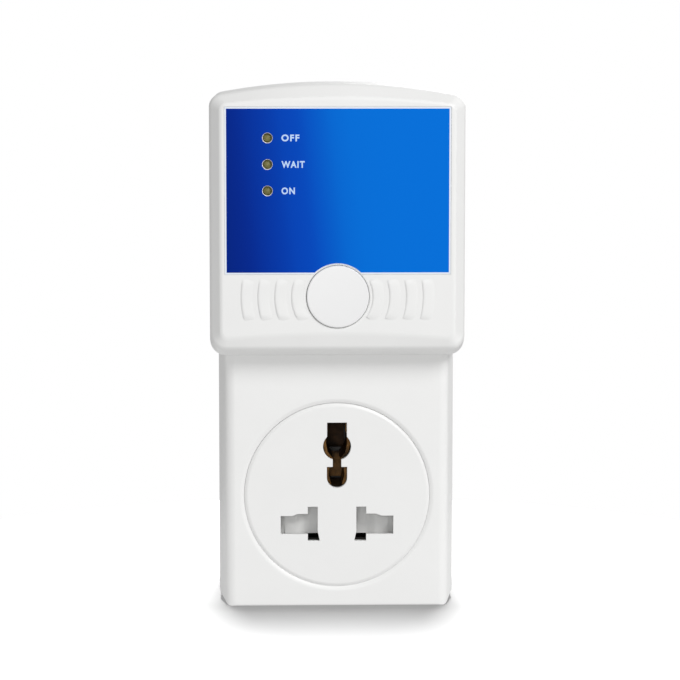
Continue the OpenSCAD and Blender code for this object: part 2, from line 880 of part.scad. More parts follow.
module relay_coil() {
    color("firebrick")
        at_relay()
            translate([0, relay_axis_h, relay_coil_start])
                difference() {
                    union() {
                        cylinder(r = relay_coil_r, h = relay_coil_l - skin);
                        for (z = [0, relay_coil_l - relay_flange_t])
                            translate([0, 0, z])
                                cylinder(r = relay_coil_r + relay_flange_t, h = relay_flange_t);
                    }
                    translate([0, 0, -overrun])
                        cylinder(r = relay_core_r, h = relay_coil_l + 2 * overrun);
                }
}

// L-shaped iron with the core that passes through the coil
module relay_yoke() {
    color("silver")
        at_relay() {
            translate([0, relay_axis_h, relay_coil_start])
                cylinder(r = relay_core_r, h = relay_coil_l);
            block([-relay_iron_w / 2, relay_iron_w / 2], [relay_base_t, relay_yoke_h + relay_iron_t],
                [relay_coil_start - relay_iron_t, relay_coil_start]);
            block([-relay_iron_w / 2, relay_iron_w / 2], [relay_yoke_h, relay_yoke_h + relay_iron_t],
                [relay_coil_start - relay_iron_t, relay_core_end + relay_gap - fit]);
        }
}

// Iron plate that the core pulls in, hinged at the yoke's free edge
module relay_armature() {
    color("silver")
        at_relay()
            block([-relay_iron_w / 2, relay_iron_w / 2], [relay_base_t + relay_gap,
                relay_yoke_h + relay_iron_t / 2],
                [relay_core_end + relay_gap, relay_core_end + relay_gap + relay_iron_t]);
}

module relay_moving_contact() {
    color("goldenrod")
        at_relay() {
            block([-relay_iron_w / 4, relay_iron_w / 4],
                [relay_base_t + relay_gap, relay_base_t + relay_gap + relay_blade_l],
                [relay_core_end + relay_gap + relay_iron_t,
                relay_core_end + relay_gap + relay_iron_t + relay_blade_t]);
            translate([0, relay_base_t + relay_gap + relay_point_r,
                relay_core_end + relay_gap + relay_iron_t + relay_blade_t])
                cylinder(r = relay_point_r, h = relay_point_t);
        }
}

// Fixed blade that the moving contact leaves when the armature is pulled in
module relay_fixed_contact() {
    z = relay_core_end + relay_gap + relay_iron_t + relay_blade_t + relay_point_t;
    color("goldenrod")
        at_relay() {
            block([-relay_iron_w / 4, relay_iron_w / 4], [relay_base_t, relay_base_t + relay_blade_l],
                [z + relay_point_t + fit, z + relay_point_t + fit + relay_blade_t]);
            translate([0, relay_base_t + relay_gap + relay_point_r, z + fit])
                cylinder(r = relay_point_r, h = relay_point_t);
        }
}

// Frame of the transformer: X across, Y away from the board, Z along it
module at_trafo() {
    translate([trafo_x, board_rear_y, board_z + trafo_place_share * board_h])
        children();
}

module transformer_core() {
    window = (trafo_w - 2 * trafo_edge_w - trafo_limb_w) / 2;
    mid_y = trafo_h / 2;
    color("dimgray")
        at_trafo()
            difference() {
                block([-trafo_w / 2, trafo_w / 2], [mid_y - trafo_core_h / 2, mid_y + trafo_core_h / 2],
                    [-trafo_l / 2, trafo_l / 2]);
                for (side = [-1, 1]) let(x = side * (trafo_limb_w + window) / 2)
                    block([x - window / 2, x + window / 2],
                        [mid_y - trafo_core_h / 2 - overrun, mid_y + trafo_core_h / 2 + overrun],
                        [-trafo_l / 2 + trafo_edge_w, trafo_l / 2 - trafo_edge_w]);
            }
}

module transformer_winding() {
    half = trafo_w / 2 - trafo_edge_w - trafo_gap;
    half_l = trafo_l / 2 - trafo_edge_w - trafo_gap;
    mid_y = trafo_h / 2;
    color("khaki")
        at_trafo()
            difference() {
                block([-half, half], [0, trafo_h], [-half_l, half_l]);
                block([-trafo_limb_w / 2 - trafo_gap / 2, trafo_limb_w / 2 + trafo_gap / 2],
                    [mid_y - trafo_core_h / 2 - trafo_gap / 2, mid_y + trafo_core_h / 2 + trafo_gap / 2],
                    [-half_l - overrun, half_l + overrun]);
            }
}

module suppressor_capacitor() {
    color("gold")
        translate([film_cap_share[0] * board_w, board_rear_y, board_z + film_cap_share[1] * board_h]) {
            block([-film_cap_w / 2, film_cap_w / 2], [film_cap_lip, film_cap_h],
                [-film_cap_l / 2, film_cap_l / 2]);
            for (side = [-1, 1]) let(x = side * (film_cap_w / 2 - film_cap_lip * 2))
                block([x - film_cap_lip, x + film_cap_lip], [0, film_cap_lip],
                    [-film_cap_l / 2, film_cap_l / 2]);
        }
}

module filter_capacitor() {
    color("darkblue")
        translate([can_share[0] * board_w, board_rear_y, board_z + can_share[1] * board_h])
            difference() {
                bar(can_r, [0, can_h]);
                translate([0, can_h * can_groove_share, 0])
                    rotate([-90, 0, 0])
                        rotate_extrude()
                            translate([can_r, 0])
                                circle(can_groove, $fn = 24);
            }
}

module varistor() {
    color("mediumblue")
        translate([varistor_share[0] * board_w, board_rear_y, board_z + varistor_share[1] * board_h])
            translate([0, varistor_r, -varistor_t / 2])
                cylinder(r = varistor_r, h = varistor_t);
}

module control_chip() {
    color("black")
        translate([chip_share[0] * board_w, board_rear_y, board_z + chip_share[1] * board_h]) {
            block([-chip_w / 2, chip_w / 2], [chip_foot_t, chip_h], [-chip_l / 2, chip_l / 2]);
            for (i = [0:chip_feet - 1], side = [-1, 1])
                let(x = (i - (chip_feet - 1) / 2) * chip_foot_pitch, z = side * (chip_l - chip_foot_t) / 2)
                block([x - chip_foot_w / 2, x + chip_foot_w / 2], [0, chip_foot_t],
                    [z - chip_foot_t / 2, z + chip_foot_t / 2]);
        }
}

module resistors() {
    color("tan")
        for (i = [0:resistor_count - 1])
            let(x = resistor_share[0] * board_w, z = board_z + resistor_share[1] * board_h)
            cross_bar(resistor_r, [x - resistor_l / 2, x + resistor_l / 2], board_rear_y + resistor_r,
                z + i * resistor_pitch);
}

module diodes() {
    color("black")
        for (i = [0:diode_count - 1])
            translate([diode_share[0] * board_w + i * diode_pitch, board_rear_y + diode_r,
                board_z + diode_share[1] * board_h - diode_l / 2])
                cylinder(r = diode_r, h = diode_l);
}

module socket_face() {
    color("white")
        difference() {
            union() {
                bar(disc_r, [front_y + disc_chamfer, front_y + disc_front_t], 0, disc_z);
                translate([0, front_y, disc_z])
                    rotate([-90, 0, 0])
                        cylinder(r1 = disc_r - disc_chamfer, r2 = disc_r, h = disc_chamfer);
                bar(disc_flange_r, [front_y + disc_front_t, disc_rear_y], 0, disc_z);
            }
            slab([front_y - overrun, disc_rear_y + overrun]) line_slots();
            slab([front_y - overrun, disc_rear_y + overrun]) earth_hole();
        }
}

// Sliding shutter: a ramp for each line pin pushes it down
module shutter() {
    foot = shutter_foot_z;
    color("lightgray")
        for (side = [-1, 1])
            translate([side > 0 ? pocket_in_x + slide_gap : -shutter_half, 0, 0])
                rotate([90, 0, 90])
                    linear_extrude(shutter_half - pocket_in_x - slide_gap)
                        polygon([
                            [shutter_y, foot], [shutter_y + shutter_t, foot],
                            [shutter_y + shutter_t, foot + shutter_h],
                            [shutter_y + shutter_slope, foot + shutter_h],
                            [shutter_y, foot + shutter_h - shutter_slope_h]
                        ]);
    color("lightgray")
        block([-pocket_in_x - slide_gap, pocket_in_x + slide_gap],
            [shutter_y + shutter_slope, shutter_y + shutter_t], [foot, foot + shutter_h]);
}

module shutter_spring() {
    color("silver")
        translate([0, disc_rear_y + shutter_pocket_t / 2, shutter_seat_z + fit / 2])
            coil(shutter_coil_r, shutter_wire_r, shutter_turns, shutter_foot_z - shutter_seat_z - fit);
}

// Places of the screws that hold the socket base to the front housing
function base_screw_places() =
    [for (side = [-1, 1], rise = [-1, 1]) [side * base_screw_x, disc_z + rise * base_screw_dz]];

module socket_base() {
    color("gainsboro")
        difference() {
            union() {
                block([-base_half, base_half], [disc_rear_y, base_back_y], [base_foot_z, base_top_z]);
                block([-ear_half, ear_half], [disc_rear_y, disc_rear_y + ear_t],
                    [disc_z - ear_span / 2 - base_boss_r / 2, disc_z + ear_span / 2 + base_boss_r / 2]);
            }
            block([-shutter_half - slide_gap, shutter_half + slide_gap],
                [disc_rear_y - overrun, disc_rear_y + shutter_pocket_t],
                [shutter_foot_z - shutter_travel - slide_gap, shutter_foot_z + shutter_h + slide_gap]);
            block([-spring_well_r, spring_well_r], [disc_rear_y - overrun, disc_rear_y + shutter_pocket_t],
                [shutter_seat_z, shutter_foot_z]);
            for (side = [0, 1])
                mirror([side, 0, 0]) {
                    block([pocket_in_x, pocket_out_x], [disc_rear_y - overrun, front_y + pocket_depth],
                        [line_z - pocket_down, line_z + pocket_up]);
                    block([pin_x - tail_w / 2 - fit, pin_x + tail_w / 2 + fit],
                        [front_y + pocket_depth - overrun, base_back_y + overrun],
                        [line_z - leaf_t / 2 - fit, line_z + leaf_t / 2 + fit]);
                }
            block([-earth_pocket_half, earth_pocket_half], [disc_rear_y - overrun, front_y + pocket_depth],
                [line_z + earth_pocket_foot, line_z + earth_pocket_top]);
            block([-earth_pocket_half, earth_pocket_half],
                [front_y + pocket_depth - overrun, base_back_y + overrun],
                [line_z + earth_through_foot, line_z + earth_pocket_top]);
            block([-leaf_t / 2 - fit, leaf_t / 2 + fit],
                [front_y + pocket_depth - overrun, base_back_y + overrun],
                [line_z + earth_tail_rise - tail_w / 2 - fit, line_z + earth_tail_rise + tail_w / 2 + fit]);
            for (place = base_screw_places())
                bar(board_screw_r + slide_gap, [disc_rear_y - overrun, disc_rear_y + ear_t + overrun],
                    place[0], place[1]);
        }
}

// Contact for a line pin: two sprung leaves, a back and a tail through the base
module line_contact(x) {
    gap = leaf_gap / 2;
    for (side = [0, 1])
        translate([x - leaf_w / 2 + leaf_lip, 0, line_z])
            mirror([0, 0, side])
                rotate([90, 0, 90])
                    linear_extrude(leaf_w)
                        polygon([
                            [leaf_front_y, gap + leaf_lip], [leaf_front_y + leaf_lip_l, gap],
                            [leaf_back_y, gap], [leaf_back_y, gap + leaf_t],
                            [leaf_front_y + leaf_lip_l, gap + leaf_t],
                            [leaf_front_y, gap + leaf_t + leaf_lip]
                        ]);
    block([x - leaf_w / 2 + leaf_lip, x + leaf_w / 2 + leaf_lip], [leaf_back_y - leaf_t, leaf_back_y],
        [line_z - gap - leaf_t, line_z + gap + leaf_t]);
    block([x - tail_w / 2, x + tail_w / 2], [leaf_back_y - leaf_t, leaf_back_y + tail_l],
        [line_z - leaf_t / 2, line_z + leaf_t / 2]);
}

module live_contact() {
    color("goldenrod") line_contact(pin_x);
}

module neutral_contact() {
    color("goldenrod") mirror([1, 0, 0]) line_contact(pin_x);
}

// Course of an earth leaf: shares of the aperture's top height, and shares of the leaf gap beside the middle
earth_rise_shares = [0.369, 0.462, 0.544, 0.618, 0.685, 0.767, 0.849, 0.908, 0.99];
earth_gap_shares = [0.3, 0.46, 0.4, 0.2, 0.5, 0.6, 0.6, 0.5, 0.5];

// Earth contact: two waved leaves, joined below the flat pin's way, and a tail through the base
module earth_contact() {
    last = len(earth_rise_shares) - 1;
    inner = [for (i = [0:last])
        [leaf_gap * earth_gap_shares[i], line_z + earth_top_rise * earth_rise_shares[i]]];
    outer = [for (i = [last:-1:0]) inner[i] + [leaf_t, 0]];
    back_half = leaf_gap * earth_gap_shares[1] + leaf_t;
    color("goldenrod") {
        for (side = [0, 1])
            mirror([side, 0, 0])
                slab([disc_rear_y + leaf_start, leaf_back_y])
                    polygon(concat(inner, outer));
        block([-back_half, back_half], [leaf_back_y - leaf_t, leaf_back_y],
            [line_z + earth_top_rise * earth_rise_shares[0], line_z + earth_top_rise * earth_rise_shares[3]]);
        block([-leaf_t / 2, leaf_t / 2], [leaf_back_y - leaf_t, leaf_back_y + tail_l],
            [line_z + earth_tail_rise - tail_w / 2, line_z + earth_tail_rise + tail_w / 2]);
    }
}

// Block behind the rear wall that holds the plug pins and the fuse clips
module pin_carrier() {
    color("dimgray")
        difference() {
            block([-carrier_half, carrier_half], [carrier_y, carrier_rear_y],
                [carrier_foot_z, carrier_top_z]);
            for (side = [-1, 1]) {
                block([side * pin_x - line_pin_w / 2 - fit, side * pin_x + line_pin_w / 2 + fit],
                    [carrier_y - overrun, carrier_rear_y + overrun],
                    [line_z - pin_t / 2 - fit, line_z + pin_t / 2 + fit]);
                bar(board_screw_r + slide_gap, [carrier_y - overrun, carrier_rear_y + overrun],
                    side * carrier_screw_x, line_z + carrier_screw_rise);
            }
            block([-pin_t / 2 - fit, pin_t / 2 + fit], [carrier_y - overrun, carrier_rear_y + overrun],
                [earth_z - earth_pin_w / 2 - fit, earth_z + earth_pin_w / 2 + fit]);
            block([-drawer_half - slide_gap, drawer_half + slide_gap],
                [carrier_y - overrun, carrier_rear_y + overrun],
                [fuse_z - drawer_up - slide_gap, fuse_z + drawer_up + slide_gap]);
        }
}

// Flat pin with a shoulder behind the rear wall and a tapered tip
module plug_pin(w, h, l, x, z) {
    translate([x, 0, z]) {
        block([-w / 2, w / 2], [carrier_y, wall_y + l - pin_tip], [-h / 2, h / 2]);
        block([-w / 2 - pin_flange_extra, w / 2 + pin_flange_extra], [carrier_rear_y, back_inner_y],
            [-h / 2 - pin_flange_extra, h / 2 + pin_flange_extra]);
        hull() {
            block([-w / 2, w / 2], [wall_y + l - pin_tip - skin, wall_y + l - pin_tip], [-h / 2, h / 2]);
            block([-w / 2 + pin_tip, w / 2 - pin_tip], [wall_y + l - skin, wall_y + l],
                [-h / 2 + pin_tip, h / 2 - pin_tip]);
        }
    }
}

// Line pin, thinned where its sleeve lies
module line_pin(x) {
    difference() {
        plug_pin(line_pin_w, pin_t, line_pin_l, x, line_z);
        sleeve(x);
    }
}

// Sleeve round the root of a line pin, flush with the pin
module sleeve(x) {
    difference() {
        block([x - line_pin_w / 2 - skin, x + line_pin_w / 2 + skin], [wall_y, wall_y + sleeve_l],
            [line_z - pin_t / 2 - skin, line_z + pin_t / 2 + skin]);
        block([x - line_pin_w / 2 + sleeve_t, x + line_pin_w / 2 - sleeve_t],
            [wall_y - overrun, wall_y + sleeve_l + overrun],
            [line_z - pin_t / 2 + sleeve_t, line_z + pin_t / 2 - sleeve_t]);
    }
}

module live_pin() {
    color("gold") line_pin(pin_x);
}

module neutral_pin() {
    color("gold") line_pin(-pin_x);
}

module earth_pin() {
    color("gold") plug_pin(pin_t, earth_pin_w, earth_pin_l, 0, earth_z);
}

module pin_sleeves() {
    color("white") {
        sleeve(-pin_x);
        sleeve(pin_x);
    }
}

// Clip for one end of the fuse: a plate on the carrier's front with two leaves into its pocket
module fuse_clip(x, foot, top) {
    reach = fuse_r + clip_gap;
    block([x - clip_w / 2, x + clip_w / 2], [carrier_y - strap_t, carrier_y], [foot, top]);
    for (side = [-1, 1]) let(z = fuse_z + side * (reach + clip_t / 2))
        block([x - clip_w / 2, x + clip_w / 2], [carrier_y - skin, carrier_y + clip_l],
            [z - clip_t / 2, z + clip_t / 2]);
}

module live_fuse_clip() {
    color("goldenrod")
        fuse_clip(clip_x, line_z - pin_t / 2, fuse_z + drawer_up);
}

module load_fuse_clip() {
    color("goldenrod")
        fuse_clip(-clip_x, fuse_z - drawer_up, fuse_z + drawer_up + tail_w);
}

module fuse_tube() {
    color("ivory")
        cross_bar(fuse_tube_r, [-fuse_l / 2 + fuse_cap_t, fuse_l / 2 - fuse_cap_t], fuse_y, fuse_z);
}

module fuse_caps() {
    color("silver")
        for (side = [0, 1])
            mirror([side, 0, 0])
                difference() {
                    cross_bar(fuse_r, [fuse_l / 2 - fuse_cap_l, fuse_l / 2], fuse_y, fuse_z);
                    cross_bar(fuse_tube_r, [fuse_l / 2 - fuse_cap_l - overrun, fuse_l / 2 - fuse_cap_t],
                        fuse_y, fuse_z);
                }
}

// Drawer that carries the fuse out through the rear wall
module fuse_carrier() {
    color("white")
        difference() {
            union() {
                block([-drawer_half, drawer_half], [wall_y - drawer_plate_t, wall_y],
                    [fuse_z - drawer_up, fuse_z + drawer_up]);
                block([-drawer_arm_half, drawer_arm_half], [fuse_y - drawer_wrap, wall_y - drawer_plate_t],
                    [fuse_z - drawer_up, fuse_z + drawer_up]);
            }
            cross_bar(fuse_tube_r + fit / 2, [-drawer_half, drawer_half], fuse_y, fuse_z);
            block([-drawer_grip_w / 2, drawer_grip_w / 2], [wall_y - drawer_grip_t, wall_y + overrun],
                [fuse_z - drawer_grip_h / 2, fuse_z + drawer_grip_h / 2]);
        }
}

// Strap from the neutral contact's tail to the neutral pin
module neutral_strap() {
    color("goldenrod") {
        block([-pin_x - tail_w / 2, -pin_x + tail_w / 2], [carrier_y - strap_t, carrier_y],
            [line_z - pin_t / 2, line_z + pin_t / 2]);
        block([-pin_x - tail_w / 2, -pin_x + tail_w / 2],
            [base_back_y + slide_gap, carrier_y - strap_t + skin],
            [line_z + leaf_t / 2, line_z + leaf_t / 2 + strap_t]);
    }
}

// Strap from the earth contact's tail to the earth pin
module earth_strap() {
    color("goldenrod") {
        block([-earth_slot_w / 2, earth_slot_w / 2], [carrier_y - strap_t, carrier_y],
            [line_z + earth_tail_rise - tail_w / 2, earth_z + earth_pin_w / 2]);
        block([leaf_t / 2, leaf_t / 2 + strap_t], [base_back_y + slide_gap, carrier_y - strap_t + skin],
            [line_z + earth_tail_rise - tail_w / 2, line_z + earth_tail_rise + tail_w / 2]);
    }
}

// Last stretch of a wire: up beside the board's rear face, then square onto it
function board_end(share) =
    let(x = share * board_w, z = board_z + wire_rise)
    [[x, board_rear_y + wire_back, z - wire_back], [x, board_rear_y + wire_back, z], [x, board_rear_y, z]];

module feed_wire() {
    x = -clip_x;
    y = carrier_y - strap_t - wire_r;
    color("saddlebrown")
        wire_run(concat([[x, y - fit, fuse_z + drawer_up], [x + 2 * wire_r, y - 2 * wire_r, head_z]],
            board_end(wire_shares[1])), wire_r);
}

module load_wire() {
    y = leaf_back_y + tail_l - wire_r;
    color("saddlebrown")
        wire_run(concat([[pin_x, y, line_z + leaf_t / 2], [pin_x, y, head_z]], board_end(wire_shares[2])),
            wire_r);
}

module neutral_wire() {
    x = -pin_x - tail_w / 2 + wire_r;
    y = base_back_y + slide_gap + 2 * wire_r;
    color("steelblue")
        wire_run(concat([[x, y, line_z + leaf_t / 2 + strap_t], [x, y, head_z]], board_end(wire_shares[0])),
            wire_r);
}

module housing_screws() {
    color("silver")
        for (place = housing_boss_places)
            screw(place, part_y + tube_floor_t + screw_head_t, screw_r, screw_head_r, screw_head_t,
                boss_l - slide_gap);
}

module board_screws() {
    color("silver")
        for (share = board_boss_shares)
            screw(board_place(share), board_rear_y + board_screw_head_t, board_screw_r,
                board_screw_head_r, board_screw_head_t, board_screw_l);
}

module socket_screws() {
    color("silver")
        for (place = base_screw_places())
            screw(place, disc_rear_y + ear_t + board_screw_head_t, board_screw_r, board_screw_head_r,
                board_screw_head_t, base_screw_l - slide_gap);
}

// Screws that hold the pin carrier to the rear housing, turned to be driven from the front
module carrier_screws() {
    color("silver")
        for (side = [-1, 1])
            mirror([0, 1, 0])
                screw([side * carrier_screw_x, line_z + carrier_screw_rise],
                    -carrier_y + board_screw_head_t, board_screw_r, board_screw_head_r,
                    board_screw_head_t, carrier_screw_l - slide_gap);
}

front_housing();
rear_housing();
label_panel();
reset_button();
button_spring();
switch_base();
switch_plunger();
led_off();
led_wait();
led_on();
led_leads();
led_spacer();
main_board();
relay_base();
relay_cover();
relay_coil();
relay_yoke();
relay_armature();
relay_moving_contact();
relay_fixed_contact();
transformer_core();
transformer_winding();
suppressor_capacitor();
filter_capacitor();
varistor();
control_chip();
resistors();
diodes();
socket_face();
shutter();
shutter_spring();
socket_base();
live_contact();
neutral_contact();
earth_contact();
pin_carrier();
live_pin();
neutral_pin();
earth_pin();
pin_sleeves();
live_fuse_clip();
load_fuse_clip();
fuse_tube();
fuse_caps();
fuse_carrier();
neutral_strap();
earth_strap();
feed_wire();
load_wire();
neutral_wire();
housing_screws();
board_screws();
socket_screws();
carrier_screws();
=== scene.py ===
"""Plug-through appliance voltage protector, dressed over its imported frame.

Lengths in the dataclasses are millimetres in the frame's axes: +Z up, front towards -Y. Meshes are
written in metres.
"""

import logging
import math
from dataclasses import dataclass, field
from enum import Enum
from typing import Callable, Iterable, Sequence

import bmesh
import bpy
from mathutils import Matrix, Vector

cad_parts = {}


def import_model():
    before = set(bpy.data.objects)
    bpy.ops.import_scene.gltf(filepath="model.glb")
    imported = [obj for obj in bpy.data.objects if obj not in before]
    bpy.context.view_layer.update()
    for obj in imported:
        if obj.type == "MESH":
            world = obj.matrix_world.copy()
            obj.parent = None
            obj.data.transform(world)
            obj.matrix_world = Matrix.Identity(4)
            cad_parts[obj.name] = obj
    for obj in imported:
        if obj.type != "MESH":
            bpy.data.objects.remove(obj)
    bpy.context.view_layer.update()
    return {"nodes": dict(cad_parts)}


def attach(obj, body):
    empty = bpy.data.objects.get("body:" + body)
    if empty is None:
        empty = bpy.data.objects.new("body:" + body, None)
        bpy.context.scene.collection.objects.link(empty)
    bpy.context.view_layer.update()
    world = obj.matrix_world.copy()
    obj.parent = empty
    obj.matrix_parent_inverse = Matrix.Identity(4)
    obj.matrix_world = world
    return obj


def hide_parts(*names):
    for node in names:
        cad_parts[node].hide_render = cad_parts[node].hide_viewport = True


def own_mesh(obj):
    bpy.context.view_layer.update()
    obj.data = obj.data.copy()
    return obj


LOG = logging.getLogger("voltage_protector")
MM = 0.001

# Edges sharper than this many degrees stay crisp.
SOFT_ANGLE = 38.0
FLAT_ANGLE = 30.0
ROUND_ANGLE = 50.0
WIRE_ANGLE = 60.0

# Vertices nearer than this many millimetres become one, anywhere and about an axis.
MERGE_GAP = 0.0005
AXIS_GAP = 0.001

# Tests for a plate's front rim and its flats, and the pull of large faces on the normals.
LEVEL_GAP = 0.0001
FACING = 0.9
FLAT_BEND = 0.01
FLAT_WEIGHT = 80

# Segments of small roundings and of wire, and sides of whole turns.
EDGE_STEPS = 3
LIP_STEPS = 8
WIRE_SIDES = 10
COIL_STEPS = 28
TUBE_SIDES = 40
SMALL_SIDES = 48
SEAT_SIDES = 64
BUTTON_SIDES = 128
SOCKET_SIDES = 180

# What all finishes share.
COAT_ROUGHNESS = 0.12
PATTERN_PLACE = (0.013, 0.027, 0.041)
DRAWN_SCALE = (1.0, 0.06, 1.0)
NOISE_ROUGHNESS = 0.55
MOTTLE_BAND = (0.3, 0.7)
MOTTLE_DETAIL = 3.0
GLOSS_SIZE = 0.3
GLOSS_DETAIL = 4.0
GRAIN_DETAIL = 2.0
LEAST_ROUGHNESS = 0.02

Point = tuple[float, float]
Place = tuple[float, float, float]
Colour = tuple[float, float, float]
Corner = tuple[float, float, float]
Rounding = tuple[float, int]


class Body(str, Enum):
    """Bodies of the frame that dressed pieces ride on."""

    HOUSING = "housing"
    BUTTON = "button"
    SHUTTER = "shutter_slider"
    DRAWER = "fuse_drawer"


class Grain(Enum):
    """Kinds of surface relief that a finish can carry."""

    SPARK = "spark"
    SATIN = "satin"
    DRAWN = "drawn"
    CAST = "cast"


RELIEF = {Grain.SPARK: 0.5, Grain.SATIN: 0.25, Grain.DRAWN: 0.5, Grain.CAST: 0.8}


@dataclass(frozen=True)
class Layout:
    """Places and travels that more than one sub-assembly keeps to."""

    button_z: float = 81.75
    button_travel: float = 1.5
    shutter_travel: float = 9.3
    lamp_x: float = -17.85
    lamp_heights: tuple[float, ...] = (122.1, 115.4, 108.7)
    print_half: float = 28.3
    print_foot: float = 87.9
    pin_x: float = 11.1
    pin_z: float = 21.3
    earth_z: float = 43.53
    drawer_z: float = 31.4
    front: float = -21.0
    back: float = 21.0


PLACES = Layout()


def srgb(red: int, green: int, blue: int) -> Colour:
    """Turn an 8-bit display colour into the linear colour that shaders take.

    Args:
        red: Red, 0 to 255.
        green: Green, 0 to 255.
        blue: Blue, 0 to 255.

    Returns:
        The colour as three linear shares.
    """

    def linear(value: int) -> float:
        """Linear share of one 8-bit channel."""
        share = value / 255
        return share / 12.92 if share <= 0.04045 else ((share + 0.055) / 1.055) ** 2.4

    return linear(red), linear(green), linear(blue)


@dataclass(frozen=True)
class Finish:
    """A surface finish: colour with a soft mottle, gloss with small changes, and a fine relief."""

    name: str
    colour: Colour
    roughness: float = 0.5
    metallic: float = 0.0
    grain: Grain = Grain.SPARK
    grain_size: float = 0.35
    grain_depth: float = 0.01
    mottle: float = 0.03
    mottle_size: float = 14.0
    gloss_change: float = 0.06
    specular: float = 0.5
    coat: float = 0.0
    transmission: float = 0.0
    ior: float = 1.46

    def make(self) -> bpy.types.Material:
        """Build the material once and hand out the same one afterwards.

        Returns:
            The material.
        """
        known = bpy.data.materials.get(self.name)
        if known:
            return known
        material = bpy.data.materials.new(self.name)
        material.use_nodes = True
        shader = material.node_tree.nodes["Principled BSDF"]
        shader.inputs["Metallic"].default_value = self.metallic
        shader.inputs["Specular IOR Level"].default_value = self.specular
        shader.inputs["Coat Weight"].default_value = self.coat
        shader.inputs["Coat Roughness"].default_value = COAT_ROUGHNESS
        shader.inputs["Transmission Weight"].default_value = self.transmission
        shader.inputs["IOR"].default_value = self.ior
        material.diffuse_color = (*self.colour, 1.0)
        place = self._place(material)
        self._paint(material, shader, place)
        self._relieve(material, shader, place)
        return material

    def _place(self, material: bpy.types.Material) -> bpy.types.NodeSocket:
        """Give the coordinates that the finish is laid out in.

        Args:
            material: The material being built.

        Returns:
            The socket with the coordinates.
        """
        nodes, links = material.node_tree.nodes, material.node_tree.links
        source = nodes.new("ShaderNodeTexCoord")
        mapping = nodes.new("ShaderNodeMapping")
        mapping.inputs["Location"].default_value = PATTERN_PLACE
        if self.grain is Grain.DRAWN:
            mapping.inputs["Scale"].default_value = DRAWN_SCALE
        links.new(source.outputs["Object"], mapping.inputs["Vector"])
        return mapping.outputs["Vector"]

    def _noise(self, material: bpy.types.Material, place: bpy.types.NodeSocket, size: float,
               detail: float) -> bpy.types.NodeSocket:
        """Add a noise pattern.

        Args:
            material: The material being built.
            place: Socket with the coordinates.
            size: Size of the pattern, in millimetres.
            detail: How many finer layers it has.

        Returns:
            The socket with the pattern.
        """
        noise = material.node_tree.nodes.new("ShaderNodeTexNoise")
        noise.inputs["Scale"].default_value = 1 / (size * MM)
        noise.inputs["Detail"].default_value = detail
        noise.inputs["Roughness"].default_value = NOISE_ROUGHNESS
        material.node_tree.links.new(place, noise.inputs["Vector"])
        return noise.outputs["Fac"]

    def _paint(self, material: bpy.types.Material, shader: bpy.types.Node,
               place: bpy.types.NodeSocket) -> None:
        """Lay the colour and the gloss.

        Args:
            material: The material being built.
            shader: Its surface shader.
            place: Socket with the coordinates.
        """
        nodes, links = material.node_tree.nodes, material.node_tree.links
        cloud = self._noise(material, place, self.mottle_size, MOTTLE_DETAIL)
        ramp = nodes.new("ShaderNodeValToRGB")
        low, high = ramp.color_ramp.elements
        low.position, high.position = MOTTLE_BAND
        low.color = (*(c * (1 - self.mottle) for c in self.colour), 1.0)
        high.color = (*(min(1.0, c * (1 + self.mottle)) for c in self.colour), 1.0)
        links.new(cloud, ramp.inputs["Fac"])
        links.new(ramp.outputs["Color"], shader.inputs["Base Color"])
        gloss = nodes.new("ShaderNodeMapRange")
        gloss.inputs["To Min"].default_value = max(LEAST_ROUGHNESS, self.roughness - self.gloss_change)
        gloss.inputs["To Max"].default_value = min(1.0, self.roughness + self.gloss_change)
        haze = self._noise(material, place, self.mottle_size * GLOSS_SIZE, GLOSS_DETAIL)
        links.new(haze, gloss.inputs["Value"])
        links.new(gloss.outputs["Result"], shader.inputs["Roughness"])

    def _relieve(self, material: bpy.types.Material, shader: bpy.types.Node,
                 place: bpy.types.NodeSocket) -> None:
        """Add the fine relief.

        Args:
            material: The material being built.
            shader: Its surface shader.
            place: Socket with the coordinates.
        """
        nodes, links = material.node_tree.nodes, material.node_tree.links
        bump = nodes.new("ShaderNodeBump")
        bump.inputs["Strength"].default_value = RELIEF[self.grain]
        bump.inputs["Distance"].default_value = self.grain_depth * MM
        if self.grain is Grain.CAST:
            cells = nodes.new("ShaderNodeTexVoronoi")
            cells.inputs["Scale"].default_value = 1 / (self.grain_size * MM)
            links.new(place, cells.inputs["Vector"])
            links.new(cells.outputs["Distance"], bump.inputs["Height"])
        else:
            grit = self._noise(material, place, self.grain_size, GRAIN_DETAIL)
            links.new(grit, bump.inputs["Height"])
        links.new(bump.outputs["Normal"], shader.inputs["Normal"])


